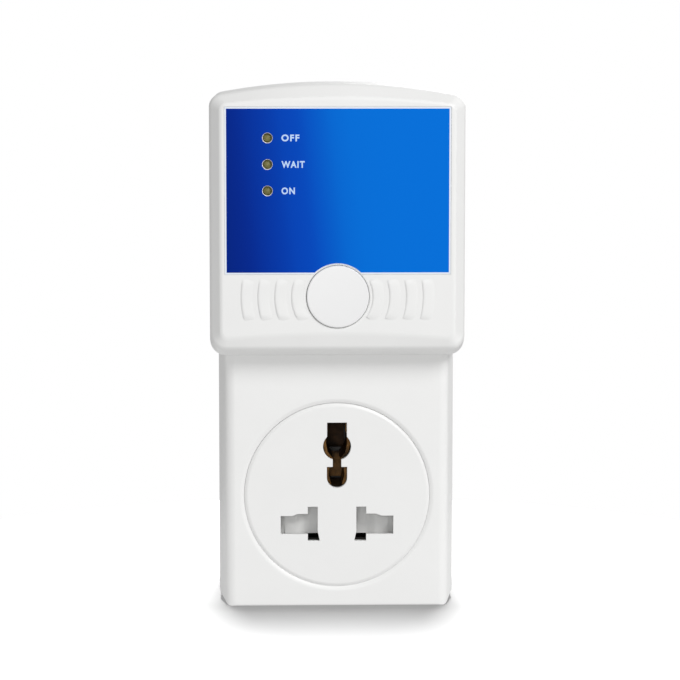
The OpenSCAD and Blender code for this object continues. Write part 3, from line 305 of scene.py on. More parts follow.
@dataclass(frozen=True)
class LabelPrint(Finish):
    """Printed film whose blue runs from dark on the left to light on the right."""

    stops: tuple[tuple[float, Colour], ...] = ()
    half_width: float = PLACES.print_half
    foot: float = PLACES.print_foot
    lean: float = 0.12

    def _paint(self, material: bpy.types.Material, shader: bpy.types.Node,
               place: bpy.types.NodeSocket) -> None:
        """Lay the printed gradient across the film; it leans a little.

        Args:
            material: The material being built.
            shader: Its surface shader.
            place: Not used.
        """
        nodes, links = material.node_tree.nodes, material.node_tree.links
        source = nodes.new("ShaderNodeTexCoord")
        split = nodes.new("ShaderNodeSeparateXYZ")
        links.new(source.outputs["Object"], split.inputs["Vector"])
        across = nodes.new("ShaderNodeMapRange")
        across.inputs["From Min"].default_value = (self.lean * self.foot - self.half_width) * MM
        across.inputs["From Max"].default_value = (self.lean * self.foot + self.half_width) * MM
        leaned = nodes.new("ShaderNodeMath")
        leaned.operation = "MULTIPLY_ADD"
        leaned.inputs[1].default_value = self.lean
        links.new(split.outputs["Z"], leaned.inputs[0])
        links.new(split.outputs["X"], leaned.inputs[2])
        links.new(leaned.outputs["Value"], across.inputs["Value"])
        ramp = nodes.new("ShaderNodeValToRGB")
        ramp.color_ramp.interpolation = "CARDINAL"
        elements = ramp.color_ramp.elements
        elements[0].position, elements[0].color = self.stops[0][0], (*self.stops[0][1], 1.0)
        elements[1].position, elements[1].color = self.stops[-1][0], (*self.stops[-1][1], 1.0)
        for position, colour in self.stops[1:-1]:
            elements.new(position).color = (*colour, 1.0)
        links.new(across.outputs["Result"], ramp.inputs["Fac"])
        links.new(ramp.outputs["Color"], shader.inputs["Base Color"])
        shader.inputs["Roughness"].default_value = self.roughness


WHITE_CASE = Finish("case_white", srgb(238, 238, 237), roughness=0.42, grain_size=0.3, grain_depth=0.012,
                    mottle=0.008, gloss_change=0.05)
WHITE_PLATE = Finish("socket_plate_white", srgb(237, 237, 236), roughness=0.36, grain_size=0.25,
                     grain_depth=0.006, mottle=0.008, gloss_change=0.05)
WHITE_BUTTON = Finish("button_white", srgb(238, 238, 238), roughness=0.34, grain=Grain.SATIN, grain_size=0.5,
                      grain_depth=0.006, mottle=0.008, gloss_change=0.05)
WHITE_DRAWER = Finish("drawer_white", srgb(233, 233, 231), roughness=0.4, grain_size=0.3, grain_depth=0.01,
                      mottle=0.01)
LABEL_BLUE = LabelPrint(
    "label_blue", srgb(0, 90, 200), roughness=0.5, grain=Grain.SATIN, grain_size=1.2, grain_depth=0.002,
    specular=0.04,
    stops=((0.0, srgb(0, 36, 131)), (0.15, srgb(0, 46, 152)), (0.3, srgb(0, 64, 178)),
           (0.42, srgb(0, 78, 193)), (0.53, srgb(0, 100, 208)), (0.63, srgb(0, 110, 216)),
           (1.0, srgb(0, 112, 218))))
LABEL_FILM = Finish("label_film_white", srgb(232, 239, 250), roughness=0.5, mottle=0.01, grain=Grain.SATIN)
LABEL_INK = Finish("label_ink_white", srgb(190, 217, 252), roughness=0.5, mottle=0.01, grain=Grain.SATIN)
LAMP_LENS = Finish("lamp_lens", srgb(128, 124, 76), roughness=0.35, grain=Grain.SATIN, grain_size=0.6,
                   mottle=0.12, mottle_size=1.4, transmission=0.1, ior=1.45, specular=0.35)
# The shutter's white is set lighter than the case's to make up for light that doesn't reach into the
# apertures: painted light.
SHUTTER_PAINTED_LIGHT = Finish("shutter_white_painted_light", srgb(246, 246, 244), roughness=0.45, mottle=0.02, grain_size=0.25)
# The socket base is darkened as painted shade for the dark inside seen through the earth aperture.
BASE_PAINTED_SHADE = Finish("base_painted_shade", srgb(48, 45, 42), roughness=0.5, mottle=0.05)
CARRIER_GREY = Finish("carrier_grey", srgb(62, 62, 64), roughness=0.5, mottle=0.04)
SLEEVE_BLACK = Finish("sleeve_black", srgb(24, 24, 25), roughness=0.42, mottle=0.06)
PIN_BRASS = Finish("pin_brass", srgb(214, 178, 108), roughness=0.24, metallic=1.0, grain=Grain.DRAWN,
                   grain_size=0.12, grain_depth=0.004, mottle=0.06, mottle_size=3.0, gloss_change=0.08)
LEAF_BRASS = Finish("leaf_brass", srgb(205, 158, 84), roughness=0.26, metallic=1.0, grain=Grain.DRAWN,
                    grain_size=0.15, grain_depth=0.004, mottle=0.08, mottle_size=2.0, gloss_change=0.1)
# The earth contact's brass is darkened as painted shade for the dark inside of the earth aperture.
SOCKET_BRASS_PAINTED_SHADE = Finish("socket_brass_painted_shade", srgb(112, 80, 42), roughness=0.42, metallic=0.5, grain=Grain.SATIN,
                      mottle=0.85, mottle_size=3.4, gloss_change=0.1, specular=0.3)
# The earth strap's brass is darkened further as painted shade, where it shows through the earth aperture.
STRAP_BRASS_PAINTED_SHADE = Finish("strap_brass_painted_shade", srgb(62, 42, 24), roughness=0.5, metallic=0.35, grain=Grain.SATIN,
                     mottle=0.8, mottle_size=3.0, gloss_change=0.1, specular=0.25)
SPRING_WIRE = Finish("spring_wire", srgb(196, 197, 200), roughness=0.28, metallic=1.0, grain=Grain.DRAWN,
                     grain_size=0.1, grain_depth=0.003, mottle=0.05)
ZINC_SCREW = Finish("zinc_screw", srgb(190, 190, 184), roughness=0.34, metallic=1.0, grain=Grain.CAST,
                    grain_size=0.3, grain_depth=0.006, mottle=0.08, mottle_size=1.5)
NICKEL_CAP = Finish("nickel_cap", srgb(208, 208, 206), roughness=0.18, metallic=1.0, grain=Grain.SATIN,
                    grain_depth=0.003, mottle=0.04)
TINNED_LEG = Finish("tinned_leg", srgb(205, 206, 208), roughness=0.3, metallic=1.0, grain=Grain.DRAWN,
                    mottle=0.05)
RELAY_IRON = Finish("relay_iron", srgb(170, 170, 172), roughness=0.35, metallic=1.0, grain=Grain.SATIN,
                    mottle=0.06)
FUSE_CERAMIC = Finish("fuse_ceramic", srgb(228, 222, 204), roughness=0.2, grain=Grain.SATIN, mottle=0.03,
                      coat=0.4)
BOARD_GREEN = Finish("board_green", srgb(24, 84, 46), roughness=0.32, grain=Grain.CAST, grain_size=1.1,
                     grain_depth=0.01, mottle=0.18, mottle_size=1.8, coat=0.3)
BLACK_PART = Finish("black_part", srgb(30, 30, 32), roughness=0.45, grain=Grain.CAST, grain_size=0.2,
                    mottle=0.08)
RELAY_BLUE = Finish("relay_blue", srgb(28, 52, 110), roughness=0.3, grain=Grain.SATIN, mottle=0.05, coat=0.2)
COIL_COPPER = Finish("coil_copper", srgb(168, 84, 42), roughness=0.3, metallic=0.6, grain=Grain.DRAWN,
                     grain_size=0.16, grain_depth=0.03, mottle=0.1, mottle_size=1.0)
CORE_IRON = Finish("core_iron", srgb(66, 66, 70), roughness=0.4, metallic=0.7, grain=Grain.DRAWN,
                   grain_size=0.5, grain_depth=0.05, mottle=0.15, mottle_size=1.0)
WINDING_TAPE = Finish("winding_tape", srgb(222, 188, 62), roughness=0.35, grain=Grain.SATIN, grain_size=2.0,
                      grain_depth=0.03, mottle=0.06, mottle_size=4.0)
FILM_YELLOW = Finish("film_yellow", srgb(226, 182, 48), roughness=0.3, mottle=0.04)
CAN_BLUE = Finish("can_blue", srgb(34, 44, 104), roughness=0.25, grain=Grain.SATIN, mottle=0.05, coat=0.3)
VARISTOR_BLUE = Finish("varistor_blue", srgb(34, 96, 168), roughness=0.28, grain=Grain.CAST, grain_size=0.8,
                       mottle=0.06)
RESISTOR_TAN = Finish("resistor_tan", srgb(206, 184, 142), roughness=0.3, grain=Grain.SATIN, mottle=0.25,
                      mottle_size=1.2)
BROWN_WIRE = Finish("brown_wire", srgb(110, 62, 34), roughness=0.4, grain=Grain.SATIN, mottle=0.05)
BLUE_WIRE = Finish("blue_wire", srgb(42, 92, 178), roughness=0.4, grain=Grain.SATIN, mottle=0.05)
FLOOR_WHITE = Finish("floor_white", srgb(220, 220, 220), roughness=0.9, mottle=0.002, mottle_size=400.0,
                     gloss_change=0.02, specular=0.1)

# socket_base, earth_contact and earth_strap take finishes darkened as painted shade for the dark inside seen
# through the earth aperture.
CARRIED_OVER: dict[str, Finish] = {
    "led_leads": TINNED_LEG, "led_spacer": BLACK_PART, "main_board": BOARD_GREEN, "switch_base": BLACK_PART,
    "switch_plunger": BLACK_PART, "relay_base": BLACK_PART, "relay_cover": RELAY_BLUE,
    "relay_coil": COIL_COPPER, "relay_yoke": RELAY_IRON, "relay_armature": RELAY_IRON,
    "relay_moving_contact": LEAF_BRASS, "relay_fixed_contact": LEAF_BRASS, "transformer_core": CORE_IRON,
    "transformer_winding": WINDING_TAPE, "suppressor_capacitor": FILM_YELLOW, "filter_capacitor": CAN_BLUE,
    "varistor": VARISTOR_BLUE, "control_chip": BLACK_PART, "resistors": RESISTOR_TAN, "diodes": BLACK_PART,
    "socket_base": BASE_PAINTED_SHADE, "live_contact": LEAF_BRASS, "neutral_contact": LEAF_BRASS,
    "earth_contact": SOCKET_BRASS_PAINTED_SHADE, "pin_carrier": CARRIER_GREY, "live_fuse_clip": LEAF_BRASS,
    "load_fuse_clip": LEAF_BRASS, "fuse_tube": FUSE_CERAMIC, "fuse_caps": NICKEL_CAP,
    "neutral_strap": LEAF_BRASS, "earth_strap": STRAP_BRASS_PAINTED_SHADE, "feed_wire": BROWN_WIRE,
    "load_wire": BROWN_WIRE, "neutral_wire": BLUE_WIRE, "housing_screws": ZINC_SCREW,
    "board_screws": ZINC_SCREW, "socket_screws": ZINC_SCREW, "carrier_screws": ZINC_SCREW,
}


def arc(x: float, z: float, radius: float, start: float, end: float, steps: int) -> list[Point]:
    """Points along an arc, both ends included.

    Args:
        x: Centre, across.
        z: Centre, upwards.
        radius: Radius.
        start: First angle, in degrees.
        end: Last angle, in degrees.
        steps: Number of steps.

    Returns:
        The points.
    """
    turns = (math.radians(start + (end - start) * i / steps) for i in range(steps + 1))
    return [(x + radius * math.cos(a), z + radius * math.sin(a)) for a in turns]


def ring(x: float, z: float, radius: float, sides: int) -> list[Point]:
    """Points round a full circle, its first point once."""
    return arc(x, z, radius, 0, 360 * (sides - 1) / sides, sides - 1)


def link(bm: bmesh.types.BMesh, name: str, smooth: float = SOFT_ANGLE) -> bpy.types.Object:
    """Make an object of a finished bmesh, with outward faces and soft edges.

    Args:
        bm: The shape, in metres. It is freed.
        name: Name of the piece.
        smooth: Edges sharper than this many degrees stay crisp.

    Returns:
        The object.
    """
    bmesh.ops.remove_doubles(bm, verts=bm.verts, dist=MERGE_GAP * MM)
    bmesh.ops.recalc_face_normals(bm, faces=bm.faces)
    mesh = bpy.data.meshes.new(name)
    bm.to_mesh(mesh)
    bm.free()
    mesh.shade_smooth()
    mesh.set_sharp_from_angle(angle=math.radians(smooth))
    piece = bpy.data.objects.new(name, mesh)
    bpy.context.scene.collection.objects.link(piece)
    return piece


def bake(piece: bpy.types.Object) -> bpy.types.Object:
    """Apply a piece's modifiers to its mesh.

    Args:
        piece: The piece.

    Returns:
        The same piece, with no modifiers left.
    """
    bpy.context.view_layer.update()
    seen = piece.evaluated_get(bpy.context.evaluated_depsgraph_get())
    mesh = bpy.data.meshes.new_from_object(seen)
    mesh.name = piece.name
    piece.modifiers.clear()
    piece.data = mesh
    return piece


def combine(target: bpy.types.Object, others: Iterable[bpy.types.Object], operation: str,
            smooth: float = SOFT_ANGLE) -> bpy.types.Object:
    """Unite other shapes with a piece, or cut them out of it, and drop them.

    Args:
        target: The piece.
        others: The shapes to add or cut.
        operation: UNION or DIFFERENCE.
        smooth: Edges sharper than this many degrees stay crisp.

    Returns:
        The piece.
    """
    others = list(others)
    for other in others:
        step = target.modifiers.new(operation.lower(), "BOOLEAN")
        step.operation, step.solver, step.object = operation, "EXACT", other
    bake(target)
    for other in others:
        bpy.data.objects.remove(other)
    target.data.shade_smooth()
    target.data.set_sharp_from_angle(angle=math.radians(smooth))
    return target


def settle(piece: bpy.types.Object) -> bpy.types.Object:
    """Weight a piece's normals by area, so that flats stay flat beside rounded edges.

    Args:
        piece: The piece.

    Returns:
        The same piece.
    """
    weigh = piece.modifiers.new("flats", "WEIGHTED_NORMAL")
    weigh.keep_sharp, weigh.weight = True, FLAT_WEIGHT
    return bake(piece)


def round_edges(bm: bmesh.types.BMesh, edges: list[bmesh.types.BMEdge], offset: float,
                segments: int = EDGE_STEPS, slide: bool = False) -> None:
    """Round some edges of a shape.

    Args:
        bm: The shape.
        edges: The edges.
        offset: How far the rounding reaches.
        segments: Segments of the rounding.
        slide: Whether the rounding slides along the next edges and isn't held back by them.
    """
    bmesh.ops.bevel(bm, geom=edges, offset=offset * MM, offset_type="OFFSET", segments=segments, profile=0.5,
                    affect="EDGES", material=-1, clamp_overlap=not slide, loop_slide=slide)


def dress(piece: bpy.types.Object, body: Body, slot: str, finish: Finish, *nodes: str) -> bpy.types.Object:
    """Give a piece its finish and its body, and hide the frame nodes that it stands for.

    Args:
        piece: The piece.
        body: Body that it rides on.
        slot: Not used.
        finish: Its finish.
        *nodes: Frame nodes that it replaces.

    Returns:
        The piece.
    """
    piece.data.materials.clear()
    piece.data.materials.append(finish.make())
    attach(piece, body.value)
    if nodes:
        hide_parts(*nodes)
    LOG.info("piece %s on %s: %d faces", piece.name, body.value, len(piece.data.polygons))
    return piece


Depth = float | Callable[[float, float], float]


def depth_at(y: Depth, x: float, z: float) -> float:
    """Depth of one point of an outline, in metres."""
    return (y(x, z) if callable(y) else y) * MM


class Loft:
    """A skin carried from one closed outline to the next, all with the same number of points."""

    def __init__(self, outline: Sequence[Point], y: Depth) -> None:
        """Draw the first outline.

        Args:
            outline: Points across and upwards.
            y: Its depth, the same all round or worked out for each point.
        """
        self.bm = bmesh.new()
        verts = [self.bm.verts.new((x * MM, depth_at(y, x, z), z * MM)) for x, z in outline]
        self.loops = [verts]
        for first, second in zip(verts, verts[1:] + verts[:1]):
            self.bm.edges.new((first, second))

    def edges(self, index: int) -> list[bmesh.types.BMEdge]:
        """Edges that run along one outline, in its order, so that each run gives the same shape."""
        loop = self.loops[index]
        return [self.bm.edges.get(pair) for pair in zip(loop, loop[1:] + loop[:1])]

    def carry(self, outline: Sequence[Point], y: Depth) -> "Loft":
        """Extrude the last outline to a new one.

        Args:
            outline: Points across and upwards.
            y: Its depth, the same all round or worked out for each point.

        Returns:
            The loft.
        """
        place = {tuple(v.co): i for i, v in enumerate(self.loops[-1])}
        grown = bmesh.ops.extrude_edge_only(self.bm, edges=self.edges(-1))["geom"]
        loop: list[bmesh.types.BMVert | None] = [None] * len(outline)
        for vert in (g for g in grown if isinstance(g, bmesh.types.BMVert)):
            loop[place[tuple(vert.co)]] = vert
        for vert, (x, z) in zip(loop, outline):
            vert.co = (x * MM, depth_at(y, x, z), z * MM)
        self.loops.append(loop)
        return self

    def close(self) -> "Loft":
        """Cap both ends.

        Returns:
            The loft.
        """
        for index in (0, -1):
            bmesh.ops.contextual_create(self.bm, geom=self.edges(index))
        bmesh.ops.recalc_face_normals(self.bm, faces=self.bm.faces)
        return self

    def soften(self, roundings: dict[int, Rounding]) -> "Loft":
        """Round the skin along some of its outlines.

        Args:
            roundings: Offset and number of segments, by outline.

        Returns:
            The loft.
        """
        chosen = [(self.edges(index), offset, segments) for index, (offset, segments) in roundings.items()]
        for edges, offset, segments in chosen:
            round_edges(self.bm, [e for e in edges if e.is_valid], offset, segments, slide=True)
        return self

    def piece(self, name: str) -> bpy.types.Object:
        """Finish the skin as an object of the name given."""
        return link(self.bm, name)


def turned(name: str, profile: Sequence[Point], x: float, z: float, sides: int,
           smooth: float = SOFT_ANGLE) -> bpy.types.Object:
    """Turn a profile about an axis along Y.

    Args:
        name: Name of the piece.
        profile: Radius and depth of each point, from the axis round to the axis.
        x: Axis, across.
        z: Axis, upwards.
        sides: Number of sides.
        smooth: Edges sharper than this many degrees stay crisp.

    Returns:
        The object.
    """
    bm = bmesh.new()
    verts = [bm.verts.new(((x + r) * MM, y * MM, z * MM)) for r, y in profile]
    edges = [bm.edges.new(pair) for pair in zip(verts, verts[1:])]
    bmesh.ops.spin(bm, geom=verts + edges, cent=(x * MM, 0, z * MM), axis=(0, 1, 0), dvec=(0, 0, 0),
                   angle=math.tau, steps=sides, use_merge=True, use_duplicate=False)
    bmesh.ops.remove_doubles(bm, verts=bm.verts, dist=AXIS_GAP * MM)
    return link(bm, name, smooth)


def rounded_profile(corners: Sequence[Corner], steps: int = 4) -> list[Point]:
    """Round the corners of a turned profile.

    Args:
        corners: Radius, depth and rounding of each corner; 0 keeps it sharp.
        steps: Steps along each rounding.

    Returns:
        The profile's points.
    """
    points: list[Point] = []
    for i, (r, y, rounding) in enumerate(corners):
        if rounding == 0 or i in (0, len(corners) - 1):
            points.append((r, y))
            continue
        here = Vector((r, y))
        before = (Vector(corners[i - 1][:2]) - here).normalized() * rounding + here
        after = (Vector(corners[i + 1][:2]) - here).normalized() * rounding + here
        for k in range(steps + 1):
            t = k / steps
            spot = before * (1 - t) ** 2 + here * 2 * t * (1 - t) + after * t ** 2
            points.append((spot.x, spot.y))
    return points


def dip(start: float, end: float, face: float, deep: float, curve: float = 1.7) -> list[Point]:
    """Profile of a shallow dip that leaves a face tangentially.

    Args:
        start: Radius where it leaves the face.
        end: Radius where it is deepest.
        face: Depth of the face.
        deep: How far it dips below the face.
        curve: Power of its curve; higher keeps it level for longer.

    Returns:
        Radius and depth of each point.
    """
    shares = (i / LIP_STEPS for i in range(LIP_STEPS + 1))
    return [(start + (end - start) * share, face + deep * share ** curve) for share in shares]


def quarter_round(start: float, end: float, face: float, deep: float) -> list[Point]:
    """Profile of a lip that turns over from a face into a hole.

    Args:
        start: Radius where it leaves the face.
        end: Radius of the hole.
        face: Depth of the face.
        deep: How deep the lip reaches.

    Returns:
        Radius and depth of each point.
    """
    turns = (math.pi / 2 * i / LIP_STEPS for i in range(LIP_STEPS + 1))
    return [(end + (start - end) * (1 - math.sin(a)), face + deep * (1 - math.cos(a))) for a in turns]


def box_shape(x: Point, y: Point, z: Point) -> bmesh.types.BMesh:
    """A plain box.

    Args:
        x: Span across.
        y: Span in depth.
        z: Span upwards.

    Returns:
        A bmesh that holds the box.
    """
    bm = bmesh.new()
    size = Vector((x[1] - x[0], y[1] - y[0], z[1] - z[0])) * MM
    middle = Vector((x[0] + x[1], y[0] + y[1], z[0] + z[1])) * (MM / 2)
    bmesh.ops.create_cube(bm, size=1.0, matrix=Matrix.Translation(middle) @ Matrix.Diagonal((*size, 1.0)))
    return bm


def block(name: str, x: Point, y: Point, z: Point, edge: float = 0.0) -> bpy.types.Object:
    """A box whose edges may be rounded.

    Args:
        name: Name of the piece.
        x: Span across.
        y: Span in depth.
        z: Span upwards.
        edge: Rounding of its edges.

    Returns:
        The object.
    """
    bm = box_shape(x, y, z)
    if edge:
        round_edges(bm, list(bm.edges), edge)
    return link(bm, name)


def flat_shape(outlines: Sequence[Sequence[Point]], y: float) -> bmesh.types.BMesh:
    """A flat face between an outer outline and any holes in it.

    Args:
        outlines: The outer outline first, then the holes.
        y: Depth of its plane.

    Returns:
        A bmesh that holds the face.
    """
    bm = bmesh.new()
    for outline in outlines:
        verts = [bm.verts.new((x * MM, y * MM, z * MM)) for x, z in outline]
        for first, second in zip(verts, verts[1:] + verts[:1]):
            bm.edges.new((first, second))
    bmesh.ops.triangle_fill(bm, use_beauty=True, use_dissolve=False, edges=list(bm.edges), normal=(0, -1, 0))
    bmesh.ops.dissolve_limit(bm, angle_limit=FLAT_BEND, use_dissolve_boundaries=False, verts=list(bm.verts),
                             edges=[e for e in bm.edges if not e.is_boundary], delimit=set())
    return bm


def thicken(bm: bmesh.types.BMesh, depth: float) -> set[bmesh.types.BMVert]:
    """Carry all faces of a flat shape backwards, and keep the ones in front.

    Args:
        bm: The shape.
        depth: How far they are carried.

    Returns:
        The vertices at the back.
    """
    grown = bmesh.ops.extrude_face_region(bm, geom=list(bm.faces), use_keep_orig=True)["geom"]
    rear = [g for g in grown if isinstance(g, bmesh.types.BMVert)]
    bmesh.ops.translate(bm, vec=(0, depth * MM, 0), verts=rear)
    return set(rear)


def sheet_plate(name: str, outlines: Sequence[Sequence[Point]], y: Point, lip: float = 0.0,
                smooth: float = SOFT_ANGLE) -> bpy.types.Object:
    """A plate with holes, its front edges rounded.

    Args:
        name: Name of the piece.
        outlines: The outer outline first, then the holes.
        y: Depth of its front and of its back.
        lip: Rounding of all its front edges.
        smooth: Edges sharper than this many degrees stay crisp.

    Returns:
        The object.
    """
    bm = flat_shape(outlines, y[0])
    thicken(bm, y[1] - y[0])
    bmesh.ops.recalc_face_normals(bm, faces=bm.faces)
    if lip:
        level = y[0] * MM
        rim = [e for e in bm.edges if all(abs(v.co.y - level) < LEVEL_GAP * MM for v in e.verts)
               and sum(abs(f.normal.y) > FACING for f in e.link_faces) == 1]
        round_edges(bm, rim, lip)
    return link(bm, name, smooth)


def coiled(name: str, start: Vector, along: Vector, length: float, radius: float, wire: float,
           turns: float) -> bpy.types.Object:
    """A round-wire compression spring with closed ends.

    Args:
        name: Name of the piece.
        start: Middle of its first end.
        along: Direction in which it stretches.
        length: Overall length.
        radius: Radius of the wire's centre line.
        wire: Radius of the wire.
        turns: Number of turns.

    Returns:
        The object.
    """
    across = Vector((1, 0, 0))
    side = along.cross(across)
    bm = bmesh.new()
    place = Matrix.Translation((start + across * radius + along * wire) * MM)
    turn = Matrix((across, along, side)).transposed().to_4x4()
    made = bmesh.ops.create_circle(bm, cap_ends=False, segments=WIRE_SIDES, radius=wire * MM,
                                   matrix=place @ turn)
    steps = int(turns * COIL_STEPS)
    bmesh.ops.spin(bm, geom=made["verts"] + list(bm.edges), cent=start * MM, axis=along,
                   dvec=along * ((length - 2 * wire) * MM / steps), angle=math.tau * turns, steps=steps,
                   use_merge=False, use_duplicate=False)
    bmesh.ops.holes_fill(bm, edges=[e for e in bm.edges if e.is_boundary], sides=0)
    return link(bm, name, WIRE_ANGLE)


@dataclass
class CaseForm:
    """Sizes that the two halves of the case share."""

    lower_half: float = 30.7
    lower_corner: float = 3.0
    lower_roll_corner: float = 1.45
    lower_face_corner: float = 1.2
    head_half: float = 32.7
    head_corner: float = 3.3
    head_foot_corner: float = 4.1
    top: float = 135.8
    crown: float = 167.0
    foot: float = 66.0
    second_foot: float = 68.1
    front: float = PLACES.front
    face: float = -29.5
    bevel: float = -25.5
    seat: float = -22.6
    foot_lead: float = 3.0
    parting: float = 6.0
    back: float = PLACES.back
    wall: float = 2.2
    back_wall: float = 2.5
    face_side: float = 2.85
    face_top: float = 3.6
    face_crown: float = 263.0
    face_foot: float = 71.0
    face_foot_rise: float = 1.25
    face_corner: float = 1.9
    crown_steps: int = 56
    corner_steps: int = 12
    foot_steps: int = 20
    roll_steps: int = 10
    least_corner: float = 0.6
    side_start: float = 24.0

    def head(self, half: float, top: float, crown: float, corner: float, foot: float, rise: float,
             foot_corner: float) -> list[Point]:
        """Outline with an arched top, round corners and a foot that may rise in the middle.

        Args:
            half: Half its width.
            top: Height of the arch's top.
            crown: Radius of the arch.
            corner: Radius of the upper corners.
            foot: Height of the foot at its corners.
            rise: Rise of the foot in the middle.
            foot_corner: Radius of the lower corners.

        Returns:
            The outline's points.
        """
        arch_z, corner_x, foot_x = top - crown, half - corner, half - foot_corner
        corner_z = arch_z + math.sqrt((crown - corner) ** 2 - corner_x ** 2)
        lean = math.degrees(math.atan2(corner_z - arch_z, corner_x))
        points = arc(corner_x, corner_z, corner, 0, lean, self.corner_steps)
        points += arc(0, arch_z, crown, lean, 180 - lean, self.crown_steps)[1:-1]
        points += arc(-corner_x, corner_z, corner, 180 - lean, 180, self.corner_steps)
        points += arc(-foot_x, foot + foot_corner, foot_corner, 180, 270, self.corner_steps)
        spans = (2 * i / self.foot_steps - 1 for i in range(1, self.foot_steps))
        points += [(s * foot_x, foot + rise * (1 - s * s)) for s in spans]
        points += arc(foot_x, foot + foot_corner, foot_corner, 270, 360, self.corner_steps)
        return points

    def full_head(self, inset: float = 0.0, foot: float | None = None) -> list[Point]:
        """Full outline of the head, drawn in by an inset, over its foot."""
        low = (self.foot if foot is None else foot) + inset
        return self.head(self.head_half - inset, self.top - inset, self.crown - inset,
                         max(self.least_corner, self.head_corner - inset), low, 0.0,
                         max(self.least_corner, self.head_foot_corner - inset))

    def face_outline(self, inset: float = 0.0) -> list[Point]:
        """Outline of the head's front face, drawn in by an inset."""
        corner = max(self.least_corner, self.face_corner - inset)
        return self.head(self.head_half - self.face_side - inset, self.top - self.face_top - inset,
                         self.face_crown - inset, corner, self.face_foot + inset, self.face_foot_rise, corner)

    def slope_depth(self, x: float, z: float) -> float:
        """Depth of the edge between the head's slope and its sides, which comes forward at the foot."""
        share = min(1.0, max(0.0, (self.second_foot + self.head_foot_corner - z) / self.head_foot_corner))
        return self.bevel - self.foot_lead * share * share * (3 - 2 * share)

    def lower(self, inset: float = 0.0, foot: float | None = None,
              corner: float | None = None) -> list[Point]:
        """Outline of the lower body, which ends inside the head.

        Args:
            inset: How far it is drawn in at the sides, and at the foot unless that is given.
            foot: Height of its foot.
            corner: Radius of its corners.

        Returns:
            The outline's points: the four along the sides first, then the two corners.
        """
        half, low = self.lower_half - inset, inset if foot is None else foot
        r = max(self.least_corner, self.lower_corner - inset) if corner is None else corner
        top = self.foot + 2 * self.wall
        start = low + self.side_start
        points = [(half, start), (half, top), (-half, top), (-half, start)]
        points += arc(-half + r, low + r, r, 180, 270, self.corner_steps)
        points += arc(half - r, low + r, r, 270, 360, self.corner_steps)
        return points

    def lower_front(self, side_draft: float, side_reach: float, side_r: float, foot_r: float) -> Loft:
        """Skin of the lower body's front: drafted sides that roll into the face, and a tighter foot.

        Args:
            side_draft: How far the draft draws the sides in at the face.
            side_reach: Depth over which the sides are drafted.
            side_r: Radius of the roll at the sides.
            foot_r: Radius of the roll at the foot.

        Returns:
            The skin, open at the back.
        """
        lean = math.atan2(side_draft, side_reach)
        run = side_r * math.tan((math.pi / 2 - lean) / 2)
        corner_shares = [math.cos(math.pi / 2 * i / self.corner_steps) ** 2
                         for i in range(self.corner_steps + 1)]
        side_shares = [1.0] * 4 + corner_shares + corner_shares[::-1]
        loft: Loft | None = None
        for k in range(self.roll_steps + 2):
            share = min(1.0, k / self.roll_steps)
            side_turn, foot_turn = (math.pi / 2 - lean) * share, math.pi / 2 * share
            side_in = side_draft + run - side_r * math.sin(side_turn)
            side_deep = side_r * (1 - math.cos(side_turn))
            foot_in = foot_r * (1 - math.sin(foot_turn))
            foot_deep = foot_r * (1 - math.cos(foot_turn))
            corner = self.lower_face_corner + (self.lower_roll_corner - self.lower_face_corner) * share
            if k > self.roll_steps:
                side_in, side_deep, foot_in, foot_deep = 0.0, side_reach, 0.0, side_reach
                corner = self.lower_corner
            outline = self.lower(side_in, foot_in, corner)
            deep = {spot: self.front + foot_deep + (side_deep - foot_deep) * side
                    for spot, side in zip(outline, side_shares)}

            def place(x: float, z: float, table: dict[Point, float] = deep) -> float:
                """Depth of one point of this ring."""
                return table[(x, z)]

            loft = loft.carry(outline, place) if loft else Loft(outline, place)
        return loft


